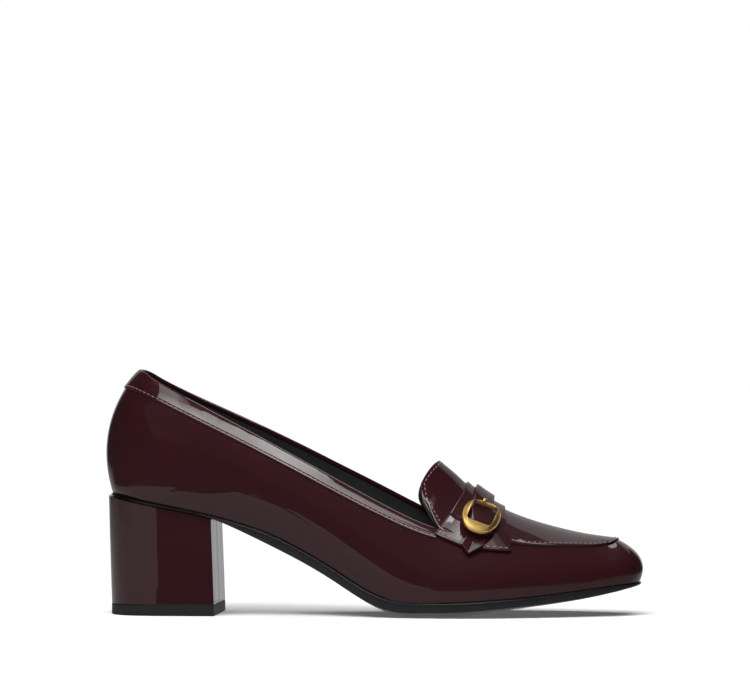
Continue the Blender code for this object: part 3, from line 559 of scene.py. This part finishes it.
addSheet("collar_band", collar["along"], collarRows - 1, layCollar)
thicken(collar["thickness"])
finishPiece(patentLeather, "oxblood_patent_leather", "collar_binding", angle=60)

# Saddle strap over the vamp: it follows the apron, bends short of the lip and hangs straight down to the wall
strap = {
    "across": 30, "thickness": 1.0, "liftTop": 1.35, "liftEnd": 1.75, "edge": 0.3,
    "bend": 0.9, "bendShare": 0.45, "slantFront": 1.2, "slantRear": 2.0,  # its panels spread front and rear
    "shares": [0.0, 0.35, 0.7, 1.0],
    "foldUp": [2.8, 3.8, 4.6, 5.4],  # mm from the lip up to the bend
    "drop": [4.2, 5.2, 5.5, 2.8],
}
panelSides = np.concatenate([  # closer rows at the bend
    np.linspace(-2.0, -1.3, 14), np.linspace(-1.3, -1.0, 9)[1:], np.linspace(-1.0, -0.93, 8)[1:],
])
sideTable = np.concatenate([panelSides, np.linspace(-0.93, 0.93, 90)[1:-1], -panelSides[::-1]])


def overLip(share, side, drop, lift):
    # share from the strap's front edge to its rear; side -1 to 1 over the apron, then down the panel
    share, side, drop, lift = np.broadcast_arrays(share, side, drop, lift)
    row = strapFrontRow + share * (throatRow - strapFrontRow)
    past = np.clip(np.abs(side) - 1, 0.0, 1.0)
    sign = np.where(side > 0, 1.0, -1.0)
    halfWidth = np.linalg.norm(apronEdge(row, True) - apronEdge(row, False), axis=-1) / 2
    reach = halfWidth - np.interp(share, strap["shares"], strap["foldUp"])

    def onApron(inner):
        inner = inner * reach / halfWidth
        rise = last["apronStep"] + strap["liftTop"] + lift
        return archAt(row, inner) + rise[..., None] * archNormal(row, inner)

    bendLine, end = onApron(sign), np.empty(row.shape + (3,))
    for medial in (False, True):
        spread = strap["slantFront"] * (1 - share) - strap["slantRear"] * share
        at = seamAt(seamTable(row)[..., int(medial)] + spread, medial)
        point, normal = wallDown(at, drop)
        chosen = (side > 0) == medial
        end[chosen] = (point + (strap["liftEnd"] + lift)[..., None] * normal)[chosen]
    hang = end - bendLine
    hangRun = np.linalg.norm(hang, axis=-1)
    flat = onApron(np.clip(side, -1.0, 1.0)) + past[..., None] * hang
    run = np.where(past > 0, past * hangRun, (np.abs(side) - 1) * reach)  # mm past the bend
    bend = np.minimum(strap["bend"], strap["bendShare"] * hangRun)
    t = np.clip((run + bend) / (2 * bend), 0.0, 1.0)[..., None]
    before = onApron(sign * (1 - bend / reach))
    after = bendLine + (bend / hangRun)[..., None] * hang
    turn = (1 - t) ** 2 * before + 2 * t * (1 - t) * bendLine + t ** 2 * after
    return np.where((np.abs(run) < bend)[..., None], turn, flat)


def layStrap(u, v):
    side = rowAt(sideTable, u)
    return overLip(v, side, np.interp(v, strap["shares"], strap["drop"]), 0.0)


addSheet("saddle_strap_leather", len(sideTable) - 1, strap["across"], layStrap)
thicken(strap["thickness"])
roundEdges(strap["edge"])
finishPiece(patentLeather, "oxblood_patent_leather", "saddle_strap")

# Belt on the strap: narrow, lightly padded, its lateral end cut to a point
belt = {
    "edges": [  # side, then its front and rear as shares of the strap
        (-2.0, 0.42, 0.69), (-1.0, 0.335, 0.66), (0.0, 0.32, 0.81), (1.0, 0.335, 0.66), (2.0, 0.36, 0.64),
    ],
    "tipAcross": [0.0, 0.35, 0.7, 1.0],
    "tipDrop": [4.4, 6.7, 9.1, 5.0],
    "medialDrop": 3.4,
    "across": 20,
    "thickness": 1.2,
    "edge": 0.35,
    "crown": 0.1,
    "crest": 0.9, "crestReach": 0.6,  # it stands off most over the middle of the foot
}
beltTable = smoothTable([row[0] for row in belt["edges"]], [row[1:] for row in belt["edges"]])


def layBelt(u, v):
    side = rowAt(sideTable, u)
    front, rear = np.moveaxis(beltTable(side), -1, 0)
    drop = np.where(side < 0, np.interp(v, belt["tipAcross"], belt["tipDrop"]), belt["medialDrop"])
    crest = belt["crest"] * np.clip(1 - np.abs(side) / belt["crestReach"], 0, 1)
    crown = belt["crown"] * (1 - (2 * v - 1) ** 4) + crest
    return overLip(front + v * (rear - front), side, drop, belt["thickness"] + crown)


addSheet("belt_leather", len(sideTable) - 1, belt["across"], layBelt)
thicken(belt["thickness"])
roundEdges(belt["edge"])
finishPiece(patentLeather, "oxblood_patent_leather", "belt")

# Buckle: an oval cast plate with a square window, its face domed inside a narrow rim
buckle = {
    "length": 24.2, "width": 17.6, "windowLength": 15.2, "windowWidth": 11.8, "windowShift": 1.8,
    "outerPower": 2.2, "windowPower": 9.0,  # the higher, the squarer
    "lift": 4.1,  # over the apron's face: strap and belt, and a little air
    "side": -0.785, "row": 0.52, "turn": 0.10, "bend": 70.0, "around": 144,
    "profile": [  # share from the window to the outer edge, height
        (0.0, 0.0), (0.5, 0.0), (0.93, 0.0), (0.985, 0.15), (1.0, 0.5), (0.99, 0.95), (0.965, 1.2),
        (0.93, 1.3), (0.89, 1.3), (0.85, 1.24), (0.81, 1.28), (0.72, 1.36), (0.56, 1.47), (0.40, 1.57),
        (0.24, 1.66), (0.12, 1.71), (0.04, 1.70), (0.01, 1.58), (0.0, 1.35), (0.0, 0.0),
    ],
}


def buckleSpot(share=0.0, side=0.0):
    # a place on the strap, by steps from the buckle's middle
    row = strapFrontRow + (buckle["row"] + share) * (throatRow - strapFrontRow)
    side = buckle["side"] + side
    return archAt(row, side) + (last["apronStep"] + buckle["lift"]) * archNormal(row, side)


buckleCentre = buckleSpot()
buckleRise = unit(buckleSpot(side=0.1) - buckleSpot(side=-0.1))
buckleOut = unit(np.cross(buckleSpot(share=-0.1) - buckleSpot(share=0.1), buckleRise))
buckleUp = math.cos(buckle["turn"]) * buckleRise + math.sin(buckle["turn"]) * np.cross(buckleRise, buckleOut)
buckleToe = np.cross(buckleUp, buckleOut)


def onBuckle(along, across, height):
    angle = along / buckle["bend"]
    radius = buckle["bend"] + height
    run, rise = radius * np.sin(angle), radius * np.cos(angle) - buckle["bend"]
    return buckleCentre + run[:, None] * buckleUp + across[:, None] * buckleToe + rise[:, None] * buckleOut


def roundedLoop(angle, halfAlong, halfAcross, power):
    c, s = np.cos(angle), np.sin(angle)
    radius = (np.abs(c) ** power + np.abs(s) ** power) ** (-1 / power)
    return radius * c * halfAlong, radius * s * halfAcross


def layBuckle(u, v):
    share, height = rowAt(np.array(buckle["profile"]), v).T
    angle = 2 * math.pi * u
    outer = roundedLoop(angle, buckle["length"] / 2, buckle["width"] / 2, buckle["outerPower"])
    window = roundedLoop(angle, buckle["windowLength"] / 2, buckle["windowWidth"] / 2, buckle["windowPower"])
    along = window[0] + buckle["windowShift"]
    return onBuckle(along + share * (outer[0] - along), window[1] + share * (outer[1] - window[1]), height)


addSheet("buckle_frame", buckle["around"], len(buckle["profile"]) - 1, layBuckle, wrap=True)
faceOutward()
finishPiece(goldBrass, "gold_plated_brass", "buckle", angle=70)

# Prong: a small hook that comes up through the window and lies over the top bar
prong = {
    "width": 1.9, "shift": -1.3, "thickness": 0.6, "crown": 0.18, "edge": 0.2, "across": 10, "along": 28,
    "spine": [  # mm up the buckle, height
        (9.5, -0.4), (9.5, 1.0), (9.55, 1.9), (9.9, 2.4), (10.6, 2.6), (11.3, 2.5), (11.9, 2.2),
    ],
}


def layProng(u, v):
    rows = np.array(prong["spine"])
    spine = smoothTable(np.linspace(0, 1, len(rows)), rows)(v)
    crown = prong["crown"] * (1 - (2 * u - 1) ** 2)
    return onBuckle(spine[:, 0], prong["shift"] + (u - 0.5) * prong["width"], spine[:, 1] + crown)


addSheet("prong_hook", prong["across"], prong["along"], layProng)
thicken(prong["thickness"], offset=0)
faceOutward()
roundEdges(prong["edge"])
finishPiece(goldBrass, "gold_plated_brass", "buckle_prong")

# Outsole: thin leather unit, its edge rounded top and bottom, seat layer over the heel
outsole = {
    "along": 200,
    "edge": [  # mm outside the feather line, share of the edge's height from its top
        (0.2, 0.0), (0.46, 0.03), (0.66, 0.10), (0.77, 0.20), (0.8, 0.34),
        (0.77, 0.55), (0.7, 0.75), (0.58, 0.90), (0.36, 0.98), (0.0, 1.0),
    ],
    "columns": 14,
    "crownWidth": 24.0,  # narrower than this the sole's middle hangs less
    "below": 0.18,  # its top under the feather line
}
outsoleHalf = len(outsole["edge"]) + outsole["columns"] - 1  # places round one edge and across one face


def layOutsole(u, v):
    # round the section: lateral edge, bottom, medial edge, top
    edge, columns, half = outsole["edge"], outsole["columns"], outsoleHalf
    index = np.round(u * 2 * half).astype(int) % (2 * half)
    lateral, medial = bothSides(v)
    point = np.zeros((len(u), 3))
    for i in range(2 * half):
        chosen = index == i
        p, q = lateral[chosen], medial[chosen]
        j = i % half
        if j < len(edge):
            outward, share = edge[j] if i < half else edge[len(edge) - 1 - j]
            plan = outlineAt(p if i < half else q, outward)[0]
            bulge = np.zeros(len(p))
        else:
            outward, share = (edge[-1][0], 1.0) if i < half else (edge[0][0], 0.0)
            across = (j - len(edge) + 1) / columns
            across = across if i < half else 1 - across
            left, right = outlineAt(p, outward)[0], outlineAt(q, outward)[0]
            plan = left + across * (right - left)
            width = np.linalg.norm(right - left, axis=1)
            bulge = (1 - (2 * across - 1) ** 4) * np.clip(width / outsole["crownWidth"], 0, 1)
        height, thick, crown = seatTable(plan[:, 0]).T
        top = height - outsole["below"]
        bottom = np.maximum(height - thick - crown * bulge, 0.0)
        point[chosen] = np.column_stack([plan, top + share * (bottom - top)])
    return point


addSheet("sole_unit", 2 * outsoleHalf, outsole["along"], layOutsole, wrap=True)
faceOutward()
finishPiece(soleLeather, "black_sole_leather", "outsole", angle=40)

# Insole: a sock-covered board, its middle a little padded
insole = {
    "along": 90, "across": 30, "inside": 1.7, "thickness": 1.8, "pad": 0.5, "padWidth": 30.0, "end": 0.004,
}


def layInsole(u, v):
    sides = bothSides(np.clip(v, insole["end"], 1 - insole["end"]))
    left, right = [outlineAt(place, -insole["inside"])[0] for place in sides]
    plan = left + u[:, None] * (right - left)
    width = np.linalg.norm(right - left, axis=1)
    pad = insole["pad"] * (1 - (2 * u - 1) ** 4) * np.clip(width / insole["padWidth"], 0, 1)
    return np.column_stack([plan, seatTable(plan[:, 0])[:, 0] + insole["thickness"] + pad])


addSheet("sock", insole["across"], insole["along"], layInsole)
thicken(insole["thickness"])
finishPiece(liningLeather, "black_lining_leather", "insole")

# Heel: a block wrapped in the upper's leather, flat breast, round back, leaning a little
heel = {
    "back": 0.6, "breast": 50.7, "lean": 1.5, "flare": 0.5, "half": 25.2, "round": 25.0, "roundness": 2.3,
    "tread": 5.0, "treadGap": 0.1, "edge": 0.6, "treadEdge": 0.4, "up": 20, "treadUp": 4,
    "backSteps": 73, "sideSteps": 9, "breastSteps": 65,
    "pull": 0.05,  # mm that the drawn leather waves on the breast
    "pulls": [  # waves across, drift up, phase, share
        (6.1, 0.6, 0.0, 1.0), (11.3, -0.8, 1.0, 0.7), (23.0, 0.0, 0.0, 0.5),
    ],
}
heelPlan = []
power = 2 / heel["roundness"]
for step in np.linspace(math.pi / 2, -math.pi / 2, heel["backSteps"]):  # lateral side, back, medial side
    c, s = math.cos(step), math.sin(step)
    x = heel["back"] + heel["round"] * (1 - abs(c) ** power)
    heelPlan.append((x, -heel["half"] * math.copysign(abs(s) ** power, s)))
sideRun = np.linspace(heel["back"] + heel["round"], heel["breast"], heel["sideSteps"])
breastRun = np.linspace(heel["half"], -heel["half"], heel["breastSteps"])
heelPlan += [(x, heel["half"]) for x in sideRun[1:]] + [(heel["breast"], y) for y in breastRun[1:]]
heelPlan += [(x, -heel["half"]) for x in sideRun[::-1][1:]]
heelPlan = np.array(heelPlan)


def layHeel(u, v):
    plan = rowAt(heelPlan, u)
    v = np.interp(v, [0, 0.1, 0.9, 1], [0, 0.02, 0.98, 1])  # close rows at both ends keep the walls flat
    height, thick = seatTable(plan[:, 0]).T[:2]
    low, high = heel["tread"] + heel["treadGap"], height - thick - last["gap"]
    across = plan[:, 1] / heel["half"]
    onBreast = plan[:, 0] > heel["breast"] - 1e-6
    pulls = sum(share * np.sin(waves * across + drift * v + phase)
                for waves, drift, phase, share in heel["pulls"])
    x = plan[:, 0] + heel["lean"] * (1 - v) + heel["pull"] * pulls * (1 - across ** 4) * onBreast
    y = plan[:, 1] * (1 + heel["flare"] * (1 - v) ** 2 / heel["half"])
    return np.column_stack([x, y, low + v * (high - low)])


def layTread(u, v):
    plan = rowAt(heelPlan, u)
    y = plan[:, 1] * (1 + heel["flare"] / heel["half"])
    return np.column_stack([plan[:, 0] + heel["lean"], y, v * heel["tread"]])


addSheet("heel_block", len(heelPlan) - 1, heel["up"], layHeel, wrap=True)
faceOutward(fillEnds=True)
roundEdges(heel["edge"], segments=4)
finishPiece(patentLeather, "oxblood_patent_leather", "heel", angle=35)
addSheet("heel_tread", len(heelPlan) - 1, heel["treadUp"], layTread, wrap=True)
faceOutward(fillEnds=True)
roundEdges(heel["treadEdge"])
finishPiece(treadRubber, "black_tread_rubber", "top_piece", angle=35)

# Stitches: one modelled, then copied along each seam, each with a flat black disc at its end as painted shade in
# the needle hole
stitch = {
    # the hole sizes are for the black discs that paint the shade inside each needle hole
    "pitch": 2.5, "length": 1.75, "width": 0.5, "height": 0.68, "sink": 0.05, "holeShadeWidth": 0.62, "holeShadeDepth": 0.12,
    "blunt": 0.7, "dive": 0.9, "inside": 1.5,  # how square its ends are, how far they dive, mm from an edge
    "collarSteps": 700, "apronSteps": 120, "turnSteps": 80, "strapSteps": 60,  # fineness of the seams' lines
    "start": 1.0, "toeRow": 1.7,  # where the apron's and tongue's rows begin, and the apron's row at the toe
    "straps": {  # start and stop from the strap's front edge to its rear, then the line down the panel
        "strap_front_lateral": (0.05, 0.40, -1.86), "strap_rear_lateral": (0.70, 0.95, -1.88),
        "strap_front_medial": (0.05, 0.30, 1.86), "strap_rear_medial": (0.70, 0.95, 1.88),
    },
}


def seamFrames(points, normals):
    run, step = runAlong(points), 0.2
    count = int(run[-1] / stitch["pitch"])
    frames = []
    for i in range(count):
        spots = (i + 0.5) * run[-1] / count + np.array([-step, 0.0, step])
        back, middle, front = np.stack([np.interp(spots, run, points[:, k]) for k in range(3)], axis=1)
        out = np.array([np.interp(spots[1], run, normals[:, k]) for k in range(3)])
        along = unit(front - back)
        beside = unit(np.cross(unit(out), along))
        frames.append((middle, along, beside, np.cross(along, beside)))
    return frames


def sewRow(name, frames, material, slot, size, forward, sink):
    deselectAll()
    bpy.ops.mesh.primitive_uv_sphere_add(segments=8, ring_count=6, radius=0.5)
    first = bpy.context.object
    first.data.transform(Matrix.Rotation(math.pi / 2, 4, "Y"))
    for vertex in first.data.vertices:  # a rounded rod whose ends dive into the hide
        x, y, z = vertex.co * 2
        along, down = math.copysign(abs(x) ** stitch["blunt"], x), stitch["dive"] * x * x
        vertex.co = (size[0] / 2 * along, size[1] / 2 * y, size[2] / 2 * (z - down))
    copies = []
    for middle, along, beside, out in frames:
        spot = (middle + forward * along - sink * out + lastShift) * mm
        rows = [[along[k] * mm, beside[k] * mm, out[k] * mm, spot[k]] for k in range(3)]
        copy = first.copy()
        copy.data = first.data.copy()
        copy.data.transform(Matrix(rows + [[0, 0, 0, 1]]))
        bpy.context.collection.objects.link(copy)
        copies.append(copy)
    bpy.data.objects.remove(first)
    deselectAll()
    for copy in copies:
        copy.select_set(True)
    bpy.context.view_layer.objects.active = copies[0]
    bpy.ops.object.join()
    copies[0].name = copies[0].data.name = name
    finishPiece(material, slot, angle=80)


def sewSeam(name, points, normals):
    frames = seamFrames(points, normals)
    size = (stitch["length"], stitch["width"], stitch["height"])
    sewRow(name + "_stitches", frames, waxedThread, "oxblood_patent_leather", size, 0.0, stitch["sink"])
    # painted shade: black discs of lining leather where the thread goes into the hide, darkening the needle
    # holes
    holeShade = (stitch["holeShadeWidth"], stitch["holeShadeWidth"], stitch["holeShadeDepth"])
    sewRow(name + "_needle_hole_shade", frames, liningLeather, "black_lining_leather", holeShade,
           stitch["pitch"] / 2, 0.0)


first, final = collarStart + collar["stitchEnds"][0], collarEnd - collar["stitchEnds"][1]
collarAts = np.linspace(first, final, stitch["collarSteps"])
sewSeam("collar", *collarRow(collarAts, collar["stitchRow"]))


def onSheet(lay, u, v):
    # points and normals of a laid sheet along a line drawn over it
    step = 1e-3
    across = lay(np.clip(u + step, 0, 1), v) - lay(np.clip(u - step, 0, 1), v)
    along = lay(u, np.clip(v + step, 0, 1)) - lay(u, np.clip(v - step, 0, 1))
    return lay(u, v), unit(np.cross(across, along))


def apronLine(start, stop):
    # inside the apron's or tongue's edge: along the lateral side, across at row stop and back on the medial side
    rows = np.linspace(start, stop, stitch["apronSteps"])
    share = stitch["inside"] / np.linalg.norm(apronEdge(rows, True) - apronEdge(rows, False), axis=1)
    turn = np.linspace(share[-1], 1 - share[-1], stitch["turnSteps"])[1:-1]
    u = np.concatenate([share, turn, 1 - share[::-1]])
    v = np.concatenate([rows, np.full(len(turn), stop), rows[::-1]]) / tongueRow
    return onSheet(layApron, u, v)


def strapLine(start, stop, side):
    shares = np.linspace(start, stop, stitch["strapSteps"])
    drop = np.interp(shares, strap["shares"], strap["drop"])
    step, sign = 0.02, np.sign(side)
    rise = overLip(shares, side - sign * step, drop, 0.0) - overLip(shares, side + sign * step, drop, 0.0)
    along = overLip(shares + step, side, drop, 0.0) - overLip(shares - step, side, drop, 0.0)
    return overLip(shares, side, drop, 0.0), unit(np.cross(rise, along)) * sign


sewSeam("apron", *apronLine(strapFrontRow + stitch["start"], stitch["toeRow"]))
sewSeam("tongue", *apronLine(throatRow + stitch["start"], tongueRow - stitch["inside"]))
for name, line in stitch["straps"].items():
    sewSeam(name, *strapLine(*line))
print("stitches sewn")

# Stage: a pale floor, light from above, cards that the lacquer mirrors, and a camera low at the side
stage = {
    "camera": (297.2, -2293.5, 125.4), "yaw": 4.3, "lens": 237.65, "floorLift": 0.10,
    "lights": {
        "key": {"middle": (-80.0, -1000.0, 1200.0), "size": (1300.0, 1000.0), "power": 32.0},
        "top": {"middle": (320.0, 120.0, 1300.0), "size": (1600.0, 1200.0), "power": 15.0},
    },
    "floorSize": 12.0, "paper": "#e8e8e8", "glow": 1.05,
    "fade": (0.22, 0.6),  # radii in m between which the paper turns plain white
    "room": 0.02,  # what the shoe mirrors where there is no card
    "cardCuts": 23, "floorHeight": 0.5, "ceilingHeight": 695,
    "floorCards": {  # corners' x and y in the last's mm, and the brightness at each
        "floor": [(-30, -300, 0.45), (345, -290, 0.22), (300, 900, 0.22), (-30, 900, 0.45)],
        "floor_front": [(-30, -300, 0.45), (-30, -620, 0.45), (25, -460, 0.44), (85, -300, 0.43)],
        "floor_left": [(-900, -300, 0.45), (-30, -300, 0.45), (-30, 900, 0.3), (-900, 900, 0.05)],
        "floor_far": [(-900, -1300, 0.45), (-175, -1300, 0.45), (-30, -300, 0.45), (-900, -300, 0.45)],
    },
    "standingCards": {  # the same with a height
        "left": [(-75, -760, 0, 0.45), (-600, -560, 0, 0.45), (-600, -560, 45, 0.45), (-75, -760, 40, 0.45)],
        "far_left": [
            (-600, -560, 0, 0.45), (-750, 100, 0, 0.2), (-750, 100, 15, 0.2), (-600, -560, 45, 0.45),
        ],
        "backdrop": [
            (-600, 900, 0, 0.42), (520, 900, 0, 0.42), (520, 900, 1080, 0.38), (-600, 900, 1080, 0.38),
        ],
        "crest": [
            (520, 900, 430, 0.38), (1170, 900, 1080, 0.38), (845, 900, 1080, 0.38), (520, 900, 1080, 0.38),
        ],
        "breast": [(52, 120, 1, 0.5), (110, 120, 1, 0.5), (110, 120, 60, 0.5), (52, 120, 60, 0.5)],
    },
    "ceilingCards": {
        "strip": [(-110, -520, 3.6), (165, -580, 9), (165, -380, 4), (-30, -400, 2.6)],
        "fill": [(-30, -400, 2.2), (165, -380, 3), (205, -120, 2.6), (60, -120, 2.2)],
        "softbox": [(165, -545, 7.5), (248, -545, 9), (264, -300, 3.5), (165, -385, 2.4)],
        "bright": [(248, -545, 7.5), (280, -545, 10.5), (305, -300, 10.5), (264, -300, 4)],
        "bright_end": [(264, -300, 4), (305, -300, 10.5), (322, -110, 9.5), (307, -110, 8)],
        "between": [(165, -380, 2.4), (235, -325, 1), (235, -120, 0.4), (205, -120, 2.4)],
        "strap": [(309, -288, 1.8), (334, -284, 7.5), (334, -232, 7.5), (309, -228, 1.8)],
        "side": [(335, -205, 1.6), (384, -180, 1.6), (384, -118, 1.7), (335, -118, 1.5)],
        "beside": [(384, -180, 0.6), (480, -180, 0.4), (480, -118, 0.4), (384, -118, 0.6)],
        "top": [(250, 40, 3), (350, 40, 3), (360, 400, 3), (260, 400, 3)],
        "over": [(-30, -110, 1.2), (150, -110, 1.2), (110, 300, 0.9), (-30, 300, 0.9)],
        "room": [(-700, -1800, 0.14), (450, -1800, 0), (450, -660, 0), (-700, -660, 0.14)],
    },
}


def levelCards(cards, height):
    return {name: [(x, y, height, shine) for x, y, shine in corners] for name, corners in cards.items()}


def stageCard(name, corners):
    deselectAll()
    bpy.ops.mesh.primitive_plane_add(size=1.0)
    card = bpy.context.object
    card.name = card.data.name = name
    editAll(bpy.ops.mesh.subdivide, number_cuts=stage["cardCuts"])
    first, second, third, fourth = np.array(corners)
    brightness = card.data.attributes.new("brightness", "FLOAT", "POINT")
    for i, vertex in enumerate(card.data.vertices):
        u, v = vertex.co.x + 0.5, vertex.co.y + 0.5
        spot = (1 - v) * ((1 - u) * first + u * second) + v * (u * third + (1 - u) * fourth)
        vertex.co = (spot[:3] + lastShift) * mm
        brightness.data[i].value = spot[3]
    material, tree = startMaterial(name)[:2]
    shine = addNode(tree, "ShaderNodeAttribute", attribute_name="brightness")
    glow = addNode(tree, "ShaderNodeEmission", {"Strength": shine.outputs["Fac"]}, Color=linear("#ffffff"))
    addNode(tree, "ShaderNodeOutputMaterial", {"Surface": glow})
    card.data.materials.append(material)
    card.visible_camera = card.visible_shadow = card.visible_diffuse = False


cards = levelCards(stage["floorCards"], stage["floorHeight"])
cards.update(stage["standingCards"])
cards.update(levelCards(stage["ceilingCards"], stage["ceilingHeight"]))
for name, corners in cards.items():
    stageCard("card_" + name, corners)

deselectAll()
bpy.ops.mesh.primitive_plane_add(size=stage["floorSize"])
floor = bpy.context.object
floor.name = "floor"
floorMaterial, tree, place = startMaterial("studio_floor")
sheet = addNode(tree, "ShaderNodeBsdfDiffuse", Color=linear(stage["paper"]))
lift = addNode(tree, "ShaderNodeEmission", Color=linear("#ffffff"), Strength=stage["floorLift"])
paper = addNode(tree, "ShaderNodeAddShader", {0: sheet, 1: lift})
glow = addNode(tree, "ShaderNodeEmission", Color=linear("#ffffff"), Strength=stage["glow"])
reach = addNode(tree, "ShaderNodeVectorMath", {0: place}, operation="LENGTH")
fade = addNode(tree, "ShaderNodeMapRange", {"Value": reach.outputs["Value"]}, interpolation_type="SMOOTHSTEP",
               From_Min=stage["fade"][0], From_Max=stage["fade"][1])
mixed = addNode(tree, "ShaderNodeMixShader", {0: fade, 1: paper, 2: glow})
addNode(tree, "ShaderNodeOutputMaterial", {"Surface": mixed})
floor.data.materials.append(floorMaterial)
floor.visible_glossy = False

scene = bpy.context.scene
for name, setting in stage["lights"].items():
    light = bpy.data.lights.new(name + "_light", "AREA")
    light.shape = "RECTANGLE"
    light.size, light.size_y = setting["size"][0] * mm, setting["size"][1] * mm
    light.energy = setting["power"]
    lamp = bpy.data.objects.new(name + "_light", light)
    spot = np.array(setting["middle"])
    lamp.location = (spot + lastShift) * mm
    lamp.rotation_euler = (math.atan2(-spot[1], spot[2]), 0.0, 0.0)  # tips its beam towards the shoe
    lamp.visible_glossy = False
    scene.collection.objects.link(lamp)

world = bpy.data.worlds.new("studio")
scene.world = world
world.use_nodes = True
world.node_tree.nodes.clear()
tree = world.node_tree
path = addNode(tree, "ShaderNodeLightPath")
white = addNode(tree, "ShaderNodeBackground", Color=linear("#ffffff"), Strength=1.0)
dark = addNode(tree, "ShaderNodeBackground", Color=linear("#ffffff"), Strength=stage["room"])
seen = addNode(tree, "ShaderNodeMixShader", {0: path.outputs["Is Camera Ray"], 1: dark, 2: white})
addNode(tree, "ShaderNodeOutputWorld", {"Surface": seen})

lens = bpy.data.cameras.new("camera")
lens.sensor_fit, lens.sensor_width, lens.lens = "HORIZONTAL", 36.0, stage["lens"]
lens.clip_end = 50.0
camera = bpy.data.objects.new("camera", lens)
camera.location = (np.array(stage["camera"]) + lastShift) * mm
camera.rotation_euler = (math.pi / 2, 0.0, math.radians(stage["yaw"]))
scene.collection.objects.link(camera)
scene.camera = camera
scene.view_settings.view_transform = "Standard"
print("stage set")
